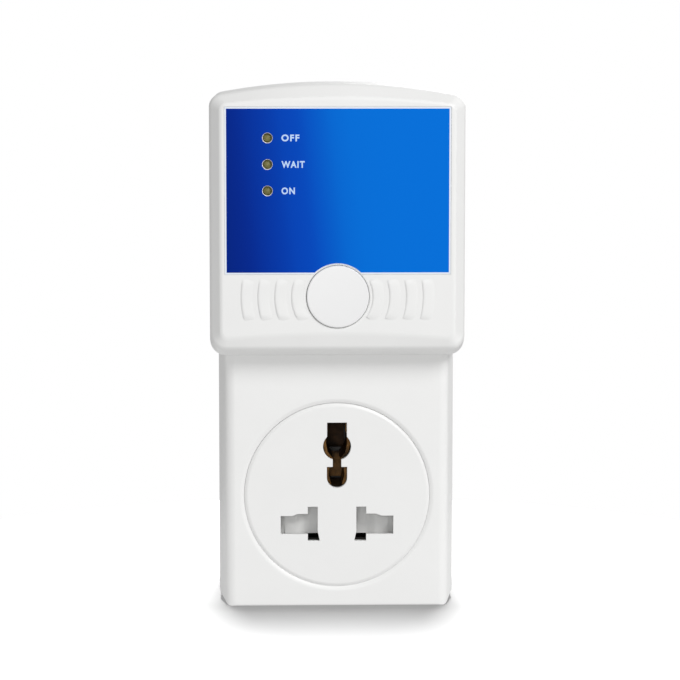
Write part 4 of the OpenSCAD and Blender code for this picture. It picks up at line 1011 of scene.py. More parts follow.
@dataclass
class Case:
    """The two moulded halves of the case, with the ribs beside the button.

    A lip is how wide and how deep it is, and a way through the rear wall how wide and how high.
    """

    form: CaseForm = field(default_factory=CaseForm)
    seam: Rounding = (0.22, 2)
    face_round: Rounding = (0.65, 6)
    slope_round: Rounding = (1.1, 6)
    foot_round: Rounding = (0.8, 5)
    rear_round: Rounding = (2.0, 8)
    side_draft: float = 2.1
    side_reach: float = 10.0
    side_round: float = 2.9
    lower_foot_round: float = 0.5
    room_inset: float = 0.99
    room_seat_share: float = 0.7
    socket_centre: float = 29.2
    socket_r: float = 24.13
    socket_lip: Point = (1.2, 0.5)
    button_centre: float = PLACES.button_z
    button_hole_r: float = 8.06
    button_lip: Point = (0.45, 0.3)
    lamp_x: float = PLACES.lamp_x
    lamp_heights: tuple[float, ...] = PLACES.lamp_heights
    lamp_hole_r: float = 1.2
    lamp_bore_r: float = 1.6
    lamp_lip: Point = (0.22, 0.25)
    lamp_mouth: float = 0.46
    mouth_rise: float = 2.0
    mouth_reach: float = 5.0
    label_half: float = 28.85
    label_span: Point = (87.4, 130.0)
    label_depth: float = 0.3
    rib_count: int = 4
    rib_steps: int = 22
    rib_inner_r: float = 8.8
    rib_pitch: float = 4.28
    rib_width: float = 3.15
    rib_height: float = 0.34
    rib_sink: float = 0.02
    rib_span: Point = (75.75, 86.15)
    rib_fade: float = 0.28
    rib_section: tuple[Point, ...] = (
        (0.0, 0.0), (0.05, 0.1), (0.12, 0.26), (0.2, 0.4), (0.35, 0.6), (0.5, 0.78), (0.7, 0.95), (0.84, 1.0),
        (0.92, 0.84), (0.97, 0.4), (1.0, 0.0))
    screws: tuple[Point, ...] = ((25.4, 5.3), (-25.4, 5.3), (27.4, 126.8), (-27.4, 126.8))
    screw_head_r: float = 3.0
    screw_hole_r: float = 1.6
    screw_lip: float = 0.27
    screw_seat: float = 3.0
    tube_r: float = 3.85
    tube_sink: float = 0.5
    overrun: float = 1.0
    pin_x: float = PLACES.pin_x
    pin_z: float = PLACES.pin_z
    earth_z: float = PLACES.earth_z
    drawer_z: float = PLACES.drawer_z
    line_way: Point = (6.55, 4.2)
    earth_way: Point = (4.2, 8.2)
    drawer_way: Point = (28.4, 8.8)
    way_depth: float = 5.0

    def front(self) -> bpy.types.Object:
        """Build the front half: the head over the lower body, hollow, with its openings.

        Returns:
            The piece.
        """
        f = self.form
        head = Loft(f.face_outline(), f.face)
        head.carry(f.full_head(foot=f.second_foot), f.slope_depth).carry(f.full_head(), f.seat)
        head.carry(f.full_head(), f.parting).close()
        head.soften({0: self.face_round, 1: self.slope_round, 2: self.foot_round, 3: self.seam})
        lower = f.lower_front(self.side_draft, self.side_reach, self.side_round, self.lower_foot_round)
        lower.carry(f.lower(), f.parting).close().soften({-1: self.seam})
        shell = combine(head.piece("front_shell"), [lower.piece("lower_half")], "UNION")
        end = f.parting + self.overrun
        head_room = Loft(f.face_outline(self.room_inset), f.face + f.wall)
        head_room.carry(f.full_head(f.wall, f.second_foot), f.bevel + f.wall)
        head_room.carry(f.full_head(f.wall), f.seat + self.room_seat_share * f.wall)
        head_room.carry(f.full_head(f.wall), end)
        lower_room = Loft(f.lower(f.wall + self.side_draft), f.front + f.wall)
        lower_room.carry(f.lower(f.wall), f.front + self.side_reach).carry(f.lower(f.wall), end)
        cuts = [head_room.close().piece("head_room"), lower_room.close().piece("lower_room")]
        wide, deep = self.socket_lip
        roll = dip(self.socket_r + wide, self.socket_r, f.front, deep)
        cuts.append(self._mouth("socket_mouth", roll, (self.socket_r, self.mouth_reach),
                                (0, self.socket_centre), SOCKET_SIDES))
        wide, deep = self.button_lip
        roll = quarter_round(self.button_hole_r + wide, self.button_hole_r, f.face, deep)
        cuts.append(self._mouth("button_mouth", roll, (self.button_hole_r, self.mouth_reach),
                                (0, self.button_centre), BUTTON_SIDES))
        wide, deep = self.lamp_lip
        roll = quarter_round(self.lamp_hole_r + wide, self.lamp_hole_r, f.face + self.label_depth, deep)
        cuts += [self._mouth(f"lamp_mouth_{i}", roll, (self.lamp_bore_r, self.lamp_mouth), (self.lamp_x, z),
                             SMALL_SIDES) for i, z in enumerate(self.lamp_heights)]
        cuts.append(block("label_seat", (-self.label_half, self.label_half),
                          (f.face - self.mouth_rise, f.face + self.label_depth), self.label_span))
        return settle(combine(shell, cuts, "DIFFERENCE"))

    def _mouth(self, name: str, roll: list[Point], bore: Point, centre: Point,
               sides: int) -> bpy.types.Object:
        """A round cutter whose mouth flares into a lip.

        Args:
            name: Name of the cutter.
            roll: Profile of the lip, from the face into the hole.
            bore: Radius behind the mouth, and the depth at which it starts.
            centre: Its axis, across and upwards.
            sides: Number of sides.

        Returns:
            The cutter.
        """
        (outer, face), (mouth, _) = roll[0], roll[-1]
        (radius, narrow), start, end = bore, face - self.mouth_rise, face + self.mouth_reach
        profile = [(0.0, start), (outer, start), *roll, (mouth, face + narrow), (radius, face + narrow)]
        return turned(name, profile + [(radius, end), (0.0, end)], *centre, sides)

    def ribs(self) -> bpy.types.Object:
        """Build the curved ribs on both sides of the button.

        Returns:
            The piece.
        """
        bm = bmesh.new()
        middle_z = sum(self.rib_span) / 2 - self.button_centre
        reach = (self.rib_span[1] - self.rib_span[0]) / 2
        for k in range(self.rib_count):
            inner = self.rib_inner_r + self.rib_pitch * k
            for side in (1, -1):
                self._rib(bm, inner, side, middle_z, reach)
        return settle(link(bm, "grip_ribs", ROUND_ANGLE))

    def _rib(self, bm: bmesh.types.BMesh, inner: float, side: int, middle: float, reach: float) -> None:
        """Sweep one rib: its left edge is steep and its right edge is gentle.

        Args:
            bm: The bmesh that takes it.
            inner: Radius of its inner edge.
            side: 1 to the right of the button, -1 to the left.
            middle: Height of its middle over the button's centre.
            reach: Half its height.
        """
        root = self.form.face + self.rib_sink
        section = self.rib_section
        if side == 1:
            section = tuple((1 - share, height) for share, height in reversed(section))
        radius = inner + self.rib_width / 2
        start = math.asin((middle - reach) / radius)
        end = math.asin((middle + reach) / radius)
        profile = []
        for share, height in section:
            r = inner + self.rib_width * share
            deep = root - height * (self.rib_height + self.rib_sink)
            profile.append(bm.verts.new((side * r * math.cos(start) * MM, deep * MM,
                                         (self.button_centre + r * math.sin(start)) * MM)))
        edges = [bm.edges.new(pair) for pair in zip(profile, profile[1:])]
        bmesh.ops.spin(bm, geom=profile + edges, cent=(0, 0, self.button_centre * MM), axis=(0, 1, 0),
                       dvec=(0, 0, 0), angle=-side * (end - start), steps=self.rib_steps, use_merge=False,
                       use_duplicate=False)
        for vert in [v for v in bm.verts if not v.tag]:
            vert.tag = True
            lift = root * MM - vert.co.y
            away = abs(vert.co.z / MM - self.button_centre - middle) / reach
            fade = max(0.0, 1 - max(0.0, (away - 1 + self.rib_fade) / self.rib_fade) ** 2)
            vert.co.y = root * MM - lift * fade

    def rear(self) -> bpy.types.Object:
        """Build the rear half, with the ways for the pins, the fuse drawer and the screws.

        Returns:
            The piece.
        """
        f = self.form
        head = Loft(f.full_head(), f.parting).carry(f.full_head(), f.back).close()
        lower = Loft(f.lower(), f.parting).carry(f.lower(), f.back).close()
        for skin in (head, lower):
            skin.soften({1: self.rear_round, 0: self.seam})
        shell = combine(head.piece("rear_shell"), [lower.piece("lower_rear")], "UNION")
        start, inner = f.parting - self.overrun, f.back - f.back_wall
        head_room = Loft(f.full_head(f.wall), start).carry(f.full_head(f.wall), inner).close()
        lower_room = Loft(f.lower(f.wall), start).carry(f.lower(f.wall), inner).close()
        shell = combine(shell, [head_room.piece("rear_head_room"), lower_room.piece("rear_lower_room")],
                        "DIFFERENCE")
        end = inner + self.tube_sink
        tube = [(0, end), (self.tube_r, end), (self.tube_r, f.parting), (0, f.parting)]
        tubes = [turned(f"screw_tube_{i}", tube, x, z, TUBE_SIDES) for i, (x, z) in enumerate(self.screws)]
        shell = combine(shell, tubes, "UNION")
        cuts = [self._screw_way(i, x, z) for i, (x, z) in enumerate(self.screws)]
        ways = ((self.pin_x, self.pin_z, *self.line_way), (-self.pin_x, self.pin_z, *self.line_way),
                (0.0, self.earth_z, *self.earth_way), (0.0, self.drawer_z, *self.drawer_way))
        cuts += [self._slot(f"pin_way_{i}", *way) for i, way in enumerate(ways)]
        return settle(combine(shell, cuts, "DIFFERENCE"))

    def _screw_way(self, index: int, x: float, z: float) -> bpy.types.Object:
        """Cutter for a screw's stepped hole, whose mouth widens on past the face.

        Args:
            index: Number of the screw.
            x: Its axis, across.
            z: Its axis, upwards.

        Returns:
            The cutter.
        """
        back, wide, narrow = self.form.back, self.screw_head_r, self.screw_hole_r
        over, end = back + self.overrun, self.form.parting - self.overrun
        mouth, seat = wide + self.screw_lip + self.overrun, self.form.parting + self.screw_seat
        corners = [(0, over, 0), (mouth, over, 0), (wide, back - self.screw_lip, self.screw_lip / 2),
                   (wide, seat, 0), (narrow, seat, 0), (narrow, end, 0), (0, end, 0)]
        return turned(f"screw_way_{index}", rounded_profile(corners), x, z, SMALL_SIDES)

    def _slot(self, name: str, x: float, z: float, width: float, height: float) -> bpy.types.Object:
        """Cutter for a straight slot through the rear wall."""
        span = (self.form.back - self.way_depth, self.form.back + self.overrun)
        return block(name, (x - width / 2, x + width / 2), span, (z - height / 2, z + height / 2))

    def build(self) -> None:
        """Build and dress the case."""
        dress(self.front(), Body.HOUSING, "housing", WHITE_CASE, "front_housing")
        dress(self.ribs(), Body.HOUSING, "housing", WHITE_CASE)
        dress(self.rear(), Body.HOUSING, "housing", WHITE_CASE, "rear_housing")


@dataclass
class Label:
    """The printed film with its pale margin, its status words and the three lamps."""

    half: float = PLACES.print_half
    span: Point = (PLACES.print_foot, 129.5)
    margin: float = 0.4
    front: float = -29.45
    back: float = -29.2
    ink: float = 0.015
    bite_r: float = 8.5
    bite_margin: float = 0.12
    bite_z: float = PLACES.button_z
    bite_steps: int = 40
    window_r: float = 1.34
    lamp_x: float = PLACES.lamp_x
    lamp_r: float = 1.5
    lamp_tip: float = -28.9
    lamp_length: float = 5.3
    lamp_heights: tuple[float, ...] = PLACES.lamp_heights
    dome_steps: int = 10
    collar: float = 1.0
    collar_rise: float = 0.4
    collar_round: float = 0.1
    words: tuple[tuple[str, float], ...] = (("OFF", 4.55), ("WAIT", 5.9), ("ON", 3.4))
    word_x: float = -14.3
    word_height: float = 1.74
    word_weight: float = 0.036
    word_gap: float = 1.22
    word_rise: float = 0.012

    def outline(self, margin: float) -> list[Point]:
        """Outline of the film with the round bite over the button, grown by a margin.

        Args:
            margin: How far it is grown; less at the bite.

        Returns:
            The outline's points.
        """
        half, low, high = self.half + margin, self.span[0] - margin, self.span[1] + margin
        r = self.bite_r - min(margin, self.bite_margin)
        reach = math.asin((low - self.bite_z) / r)
        turns = (math.pi - reach + (2 * reach - math.pi) * i / self.bite_steps
                 for i in range(self.bite_steps + 1))
        bite = [(r * math.cos(a), self.bite_z + r * math.sin(a)) for a in turns]
        return [(-half, high), (-half, low), *bite, (half, low), (half, high)]

    def sheets(self) -> list[bpy.types.Object]:
        """Build the pale film and the print on it, both with the lamps' windows.

        Returns:
            The film and the print.
        """
        holes = [ring(self.lamp_x, z, self.window_r, SMALL_SIDES) for z in self.lamp_heights]
        film = sheet_plate("label_film", [self.outline(self.margin), *holes],
                           (self.front + self.ink, self.back), smooth=FLAT_ANGLE)
        paint = sheet_plate("label_print", [self.outline(0.0), *holes],
                            (self.front, self.front + self.ink), smooth=FLAT_ANGLE)
        return [film, paint]

    def lettering(self) -> bpy.types.Object:
        """Set the status words beside the lamps.

        Returns:
            The piece.
        """
        bm = bmesh.new()
        for (word, width), z in zip(self.words, self.lamp_heights):
            curve = bpy.data.curves.new("word", "FONT")
            curve.body, curve.size, curve.offset = word, 1.0, self.word_weight
            curve.space_character = self.word_gap
            source = bpy.data.objects.new("word", curve)
            bpy.context.scene.collection.objects.link(source)
            bpy.context.view_layer.update()
            mesh = bpy.data.meshes.new_from_object(source.evaluated_get(
                bpy.context.evaluated_depsgraph_get()))
            bpy.data.objects.remove(source)
            xs, ys = [v.co.x for v in mesh.vertices], [v.co.y for v in mesh.vertices]
            wide, tall = max(xs) - min(xs), max(ys) - min(ys)
            across, up = width * MM / wide, self.word_height * MM / tall
            place = Matrix(((across, 0, 0, self.word_x * MM - min(xs) * across),
                            (0, 0, 1, (self.front - self.word_rise) * MM),
                            (0, up, 0, z * MM - (min(ys) + tall / 2) * up), (0, 0, 0, 1)))
            mesh.transform(place)
            bm.from_mesh(mesh)
            bpy.data.meshes.remove(mesh)
        top = list(bm.faces)
        grown = bmesh.ops.extrude_face_region(bm, geom=top)["geom"]
        bmesh.ops.translate(bm, vec=(0, self.word_rise * MM, 0),
                            verts=[g for g in grown if isinstance(g, bmesh.types.BMVert)])
        return link(bm, "status_words", FLAT_ANGLE)

    def lamp(self, name: str, z: float) -> bpy.types.Object:
        """Build one lamp: a domed lens with a collar.

        Args:
            name: Name of the piece.
            z: Height of its middle.

        Returns:
            The piece.
        """
        tip, r, wide, bend = self.lamp_tip, self.lamp_r, self.lamp_r + self.collar_rise, self.collar_round
        back = tip + self.lamp_length
        neck = back - self.collar
        turns = (math.pi / 2 * i / self.dome_steps for i in range(self.dome_steps + 1))
        dome = [(r * math.sin(a), tip + r - r * math.cos(a)) for a in turns]
        tail = rounded_profile([(r, tip + r, 0), (r, neck, 0), (wide, neck, bend), (wide, back, bend),
                                (0, back, 0)])
        return turned(name, dome + tail[1:], self.lamp_x, z, SMALL_SIDES, ROUND_ANGLE)

    def build(self) -> None:
        """Build and dress the label and the lamps."""
        film, paint = self.sheets()
        dress(film, Body.HOUSING, "label", LABEL_FILM, "label_panel")
        dress(paint, Body.HOUSING, "label", LABEL_BLUE, "label_panel")
        dress(self.lettering(), Body.HOUSING, "label", LABEL_INK)
        for node, z in zip(("led_off", "led_wait", "led_on"), self.lamp_heights):
            dress(self.lamp(f"{node}_lens", z), Body.HOUSING, "lamp", LAMP_LENS, node)


@dataclass
class Button:
    """The round button with its stem and return spring."""

    centre: float = PLACES.button_z
    r: float = 7.95
    front: float = -30.1
    stop: float = -27.2
    flange_r: float = 8.6
    flange_t: float = 1.2
    stem_r: float = 2.5
    stem_end: float = -23.05
    edge: float = 0.35
    edge_steps: int = 5
    flange_round: float = 0.1
    stem_round: float = 0.2
    dish: float = 0.1
    dish_shares: tuple[float, ...] = (0, 0.2, 0.4, 0.6, 0.75, 0.88, 0.9)
    spring_end: float = -17.05
    spring_r: float = 4.7
    spring_wire: float = 0.3
    spring_turns: float = 5.0
    spring_gap: float = 0.05

    def cap(self) -> bpy.types.Object:
        """Build the cap: nearly flat, with a soft edge.

        Returns:
            The piece.
        """
        crown = [(self.r * share, self.front + self.dish * share * share) for share in self.dish_shares]
        back = self.stop + self.flange_t
        rest = rounded_profile([(*crown[-1], 0), (self.r, self.front + self.dish, self.edge),
                                (self.r, self.stop, 0), (self.flange_r, self.stop, self.flange_round),
                                (self.flange_r, back, self.flange_round), (self.stem_r, back, 0),
                                (self.stem_r, self.stem_end, self.stem_round), (0, self.stem_end, 0)],
                               self.edge_steps)
        return settle(turned("button_cap", crown[:-1] + rest, 0, self.centre, BUTTON_SIDES))

    def build(self) -> None:
        """Build and dress the button and its spring."""
        dress(self.cap(), Body.BUTTON, "button", WHITE_BUTTON, "reset_button")
        start = self.stop + self.flange_t + self.spring_gap
        length = self.spring_end - start
        spring = coiled("button_coil", Vector((0, start, self.centre)), Vector((0, 1, 0)), length,
                        self.spring_r, self.spring_wire, self.spring_turns)
        dress(spring, Body.HOUSING, "spring_steel", SPRING_WIRE, "button_spring")
        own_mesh(spring)


@dataclass
class Socket:
    """The round socket face and the shutter behind it.

    The apertures' heights are measured from the middle of the line apertures.
    """

    centre: float = 29.17
    r: float = 24.07
    front: float = PLACES.front
    thickness: float = 1.5
    step: float = -18.8
    back: float = -16.5
    flange_r: float = 25.0
    flange_in: float = 20.5
    skirt_start: float = 0.9
    rim: Point = (0.95, 0.46)
    overrun: float = 1.0
    lip: float = 0.14
    line_z: float = PLACES.pin_z
    line_outline: tuple[Point, ...] = (
        (14.64, -2.38), (14.64, 2.38), (11.8, 2.38), (11.3, 2.46), (10.8, 2.72), (10.3, 2.88), (9.7, 2.93),
        (7.58, 2.93), (7.58, 4.79), (5.05, 4.79), (5.05, -1.67), (4.5, -4.15), (7.58, -4.15), (7.58, -2.38))
    earth_half: float = 2.55
    earth_top: float = 26.86
    earth_r: float = 3.62
    earth_middle: float = 20.6
    neck_half: float = 1.1
    neck_foot: float = 15.25
    tail_r: float = 2.62
    tail_middle: float = 12.4
    arc_steps: tuple[int, int] = (22, 24)
    shutter_front: float = -16.4
    shutter_t: float = 2.2
    shutter_foot: float = 18.25
    shutter_top: float = 26.6
    shutter_in: float = 4.3
    shutter_out: float = 15.4
    shutter_step: float = 13.5
    shutter_cells: tuple[int, int, int] = (24, 6, 14)
    ramp: float = 1.3
    ramp_start: float = 0.3
    hollow: float = 0.95
    hollow_span: Point = (7.4, 10.6)
    end_setback: float = 0.5
    deepest: float = 1.9
    bridge_lap: float = 0.1
    seam: float = 0.001
    spring_y: float = -15.2
    spring_seat: float = 5.65
    spring_gap: float = 0.05
    spring_r: float = 0.95
    spring_wire: float = 0.2
    spring_turns: float = 7.0

    def line_aperture(self, side: int) -> list[Point]:
        """Outline of one line aperture, on the right with side 1 and on the left with -1."""
        return [(side * x, self.line_z + height) for x, height in self.line_outline]

    def earth_aperture(self) -> list[Point]:
        """Outline of the earth aperture, down one side and up the other.

        Returns:
            The outline's points.
        """
        z, (upper_steps, tail_steps) = self.line_z, self.arc_steps
        top = math.degrees(math.acos(self.earth_half / self.earth_r))
        foot = math.degrees(math.acos(self.neck_half / self.earth_r))
        side = [(self.earth_half, z + self.earth_top)]
        side += arc(0, z + self.earth_middle, self.earth_r, top, -foot, upper_steps)
        side += [(self.neck_half, z + self.neck_foot), (self.tail_r, z + self.neck_foot)]
        tail = arc(0, z + self.tail_middle, self.tail_r, 0, -180, tail_steps)
        return side + tail + [(-x, height) for x, height in reversed(side)]

    def plate(self) -> bpy.types.Object:
        """Build the socket face with its apertures, its rounded rim and the flange behind it.

        Returns:
            The piece.
        """
        outlines = [ring(0, self.centre, self.r, SOCKET_SIDES), self.line_aperture(1), self.line_aperture(-1),
                    self.earth_aperture()]
        face = sheet_plate("socket_plate", outlines, (self.front, self.front + self.thickness), self.lip)
        wide, deep = self.rim
        inner, outer, start = self.r - wide, self.r + self.overrun, self.front - self.overrun
        roll = dip(inner, self.r, self.front, deep)
        edge = turned("rim_roll", [(inner, start), *roll, (outer, self.front + deep), (outer, start),
                                   (inner, start)], 0, self.centre, SOCKET_SIDES)
        start = self.front + self.skirt_start
        skirt = turned("socket_skirt", [(self.flange_in, start), (self.r, start), (self.r, self.step),
                                        (self.flange_r, self.step), (self.flange_r, self.back),
                                        (self.flange_in, self.back), (self.flange_in, start)],
                       0, self.centre, SOCKET_SIDES)
        return settle(combine(combine(face, [edge], "DIFFERENCE"), [skirt], "UNION"))

    def _shutter_depth(self, x: float, z: float) -> float:
        """Depth of the shutter's face: a ramp, lower towards the middle and set back at its ends.

        Args:
            x: Place across.
            z: Height.

        Returns:
            The depth.
        """
        rise = (z - self.line_z + self.ramp_start) / (self.shutter_top - self.line_z)
        start, end = self.hollow_span
        share = min(1.0, max(0.0, (abs(x) - start) / (end - start)))
        deep = self.ramp * min(1.0, max(0.0, rise)) + self.hollow * (1 - share * share * (3 - 2 * share))
        if abs(x) > self.shutter_step:
            deep += self.end_setback
        return self.shutter_front + min(self.deepest, deep)

    def _ramp(self, way: int, start: float, end: float, cells: int) -> bpy.types.Object:
        """Build one stretch of the shutter behind a line aperture.

        Args:
            way: 1 on the right, -1 on the left.
            start: Its inner end.
            end: Its outer end.
            cells: Number of cells across.

        Returns:
            The stretch.
        """
        foot, top = self.shutter_foot, self.shutter_top
        bm = bmesh.new()
        middle = Vector((way * (start + end) / 2, 0, (foot + top) / 2)) * MM
        size = Matrix.Diagonal((abs(end - start) * MM, (top - foot) * MM, 1.0, 1.0))
        bmesh.ops.create_grid(bm, x_segments=cells, y_segments=self.shutter_cells[2], size=0.5,
                              matrix=Matrix.Translation(middle) @ Matrix.Rotation(math.pi / 2, 4, "X") @ size)
        rear = thicken(bm, self.shutter_t)
        for vert in bm.verts:
            front = self._shutter_depth(vert.co.x / MM, vert.co.z / MM)
            vert.co.y = (self.shutter_front + self.shutter_t if vert in rear else front) * MM
        return link(bm, f"ramp_{way}_{cells}", FLAT_ANGLE)

    def shutter(self) -> bpy.types.Object:
        """Build the shutter: a ramp behind each line aperture and the bridge between them.

        Returns:
            The piece.
        """
        long, short, _ = self.shutter_cells
        parts = []
        for way in (-1, 1):
            parts.append(self._ramp(way, self.shutter_in, self.shutter_step, long))
            parts.append(self._ramp(way, self.shutter_step + self.seam, self.shutter_out, short))
        half = self.shutter_in + self.bridge_lap
        bridge = block("socket_shutter", (-half, half),
                       (self.shutter_front + self.ramp, self.shutter_front + self.shutter_t),
                       (self.shutter_foot, self.shutter_top))
        return combine(bridge, parts, "UNION", FLAT_ANGLE)

    def build(self) -> None:
        """Build and dress the socket's face, shutter and shutter spring."""
        dress(self.plate(), Body.HOUSING, "socket_plate", WHITE_PLATE, "socket_face")
        # The shutter's finish is lightened as painted light for its place deep in the apertures.
        dress(self.shutter(), Body.SHUTTER, "shutter_plastic", SHUTTER_PAINTED_LIGHT, "shutter")
        seat, y = self.spring_seat, self.spring_y
        length = self.shutter_foot - self.spring_gap - seat
        spring = coiled("shutter_coil", Vector((0, y, seat)), Vector((0, 0, 1)), length, self.spring_r,
                        self.spring_wire, self.spring_turns)
        dress(spring, Body.HOUSING, "spring_steel", SPRING_WIRE, "shutter_spring")
        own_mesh(spring)


@dataclass
class Plug:
    """The three plug pins, their sleeves and the fuse drawer at the back."""

    pin_x: float = PLACES.pin_x
    pin_z: float = PLACES.pin_z
    earth_z: float = PLACES.earth_z
    carrier: float = 7.5
    shoulder: Point = (16.5, 18.5)
    shoulder_rise: float = 1.0
    shoulder_round: float = 0.15
    wall: float = PLACES.back
    line_length: float = 17.7
    earth_length: float = 22.7
    line_width: float = 6.35
    earth_width: float = 8.0
    thickness: float = 4.0
    tip_round: Rounding = (0.85, 4)
    edge_round: float = 0.25
    sleeve_length: float = 9.0
    sleeve_rise: float = 0.03
    sleeve_gap: float = 0.02
    sleeve_wall: float = 0.06
    sleeve_round: float = 0.27
    overrun: float = 1.0
    drawer_z: float = PLACES.drawer_z
    drawer_half: float = 14.0
    drawer_rise: float = 4.2
    drawer_t: float = 1.7
    drawer_lap: float = 0.2
    drawer_round: float = 0.3
    arm_half: float = 6.0
    arm_start: float = 11.6
    fuse_y: float = 13.0
    fuse_r: float = 2.95
    fuse_cut: float = 30.0
    grip_half: float = 4.5
    grip_depth: float = 1.0
    grip_rise: float = 1.0

    def pin(self, name: str, x: float, z: float, width: float, height: float,
            length: float) -> bpy.types.Object:
        """Build one pin with softened edges and a tapered tip.

        Args:
            name: Name of the piece.
            x: Middle, across.
            z: Middle, upwards.
            width: Width across.
            height: Height.
            length: Length beyond the wall face.

        Returns:
            The piece.
        """
        bm = box_shape((x - width / 2, x + width / 2), (self.carrier, self.wall + length),
                       (z - height / 2, z + height / 2))
        tip = [e for e in bm.edges if min(v.co.y for v in e.verts) > self.wall * MM]
        round_edges(bm, tip, *self.tip_round)
        inside = (self.wall - self.carrier) * MM
        along = [e for e in bm.edges if abs(e.verts[0].co.y - e.verts[1].co.y) > inside]
        round_edges(bm, along, self.edge_round)
        rod = link(bm, name)
        wide, tall = width / 2 + self.shoulder_rise, height / 2 + self.shoulder_rise
        shoulder = block("shoulder", (x - wide, x + wide), self.shoulder, (z - tall, z + tall),
                         self.shoulder_round)
        return combine(rod, [shoulder], "UNION")

    def sleeves(self) -> bpy.types.Object:
        """Build the sleeves on the two line pins, flush with them.

        Returns:
            The piece.
        """
        half, tall = self.line_width / 2 + self.sleeve_rise, self.thickness / 2 + self.sleeve_rise
        narrow, low = half - self.sleeve_wall, tall - self.sleeve_wall
        end, z = self.wall + self.sleeve_length, self.pin_z
        pieces = []
        for side in (-1, 1):
            x = side * self.pin_x
            sleeve = block(f"sleeve_{side}", (x - half, x + half), (self.wall + self.sleeve_gap, end),
                           (z - tall, z + tall), self.sleeve_round)
            bore = block("bore", (x - narrow, x + narrow), (self.wall - self.overrun, end + self.overrun),
                         (z - low, z + low), self.edge_round)
            pieces.append(combine(sleeve, [bore], "DIFFERENCE"))
        joined = combine(pieces[0], [pieces[1]], "UNION")
        joined.name = "line_sleeves"
        return joined

    def drawer(self) -> bpy.types.Object:
        """Build the fuse drawer: a plate with a finger slot and the arms that hold the fuse.

        Returns:
            The piece.
        """
        z, half, arm = self.drawer_z, self.drawer_half, self.arm_half
        high, start = (z - self.drawer_rise, z + self.drawer_rise), self.wall - self.drawer_t
        plate = block("fuse_drawer_plate", (-half, half), (start, self.wall), high, self.drawer_round)
        arms = block("arms", (-arm, arm), (self.arm_start, start + self.drawer_lap), high, self.drawer_round)
        plate = combine(plate, [arms], "UNION")
        seat = bmesh.new()
        bmesh.ops.create_cone(seat, cap_ends=True, segments=SEAT_SIDES, radius1=self.fuse_r * MM,
                              radius2=self.fuse_r * MM, depth=self.fuse_cut * MM,
                              matrix=Matrix.Translation((0, self.fuse_y * MM, z * MM))
                              @ Matrix.Rotation(math.pi / 2, 4, "Y"))
        grip = block("grip", (-self.grip_half, self.grip_half),
                     (self.wall - self.grip_depth, self.wall + self.overrun),
                     (z - self.grip_rise, z + self.grip_rise), self.drawer_round)
        return settle(combine(plate, [link(seat, "fuse_seat"), grip], "DIFFERENCE"))

    def build(self) -> None:
        """Build and dress the plug side."""
        line = (self.line_width, self.thickness, self.line_length)
        earth = (self.thickness, self.earth_width, self.earth_length)
        for name, node, x, z, sizes in (("live_blade", "live_pin", self.pin_x, self.pin_z, line),
                                        ("neutral_blade", "neutral_pin", -self.pin_x, self.pin_z, line),
                                        ("earth_blade", "earth_pin", 0.0, self.earth_z, earth)):
            dress(self.pin(name, x, z, *sizes), Body.HOUSING, "pin_brass", PIN_BRASS, node)
        dress(self.sleeves(), Body.HOUSING, "sleeve_plastic", SLEEVE_BLACK, "pin_sleeves")
        dress(self.drawer(), Body.DRAWER, "drawer_plastic", WHITE_DRAWER, "fuse_carrier")


@dataclass
class Interior:
    """The parts inside the case, whose frame nodes keep their shape."""

    finishes: dict[str, Finish] = field(default_factory=lambda: dict(CARRIED_OVER))

    def build(self, nodes: dict[str, bpy.types.Object]) -> None:
        """Give each carried-over node its finish.

        Args:
            nodes: The frame's nodes by name.
        """
        for name, finish in self.finishes.items():
            node = nodes[name]
            if not node.material_slots:
                node.data.materials.append(None)
            for holder in node.material_slots:
                holder.material = finish.make()
            LOG.info("node %s keeps its shape with %s", name, finish.name)


def for_camera(tree: bpy.types.NodeTree, bounced: float, seen: float) -> bpy.types.NodeSocket:
    """Add a strength of the stage that has one value to the camera and another to all other rays.

    Args:
        tree: Nodes of the floor or of the sky.
        bounced: Value to the other rays.
        seen: Value to the camera's.

    Returns:
        The socket with the strength.
    """
    rays = tree.nodes.new("ShaderNodeLightPath")
    value = tree.nodes.new("ShaderNodeMapRange")
    value.inputs["To Min"].default_value = bounced
    value.inputs["To Max"].default_value = seen
    tree.links.new(rays.outputs["Is Camera Ray"], value.inputs["Value"])
    return value.outputs["Result"]


@dataclass(frozen=True)
class SoftLamp:
    """A soft oval lamp: place and sizes in millimetres, power in watts, and how it meets the floor."""

    name: str
    place: Place
    sizes: Point
    power: float
    floor_link: str = "EXCLUDE"


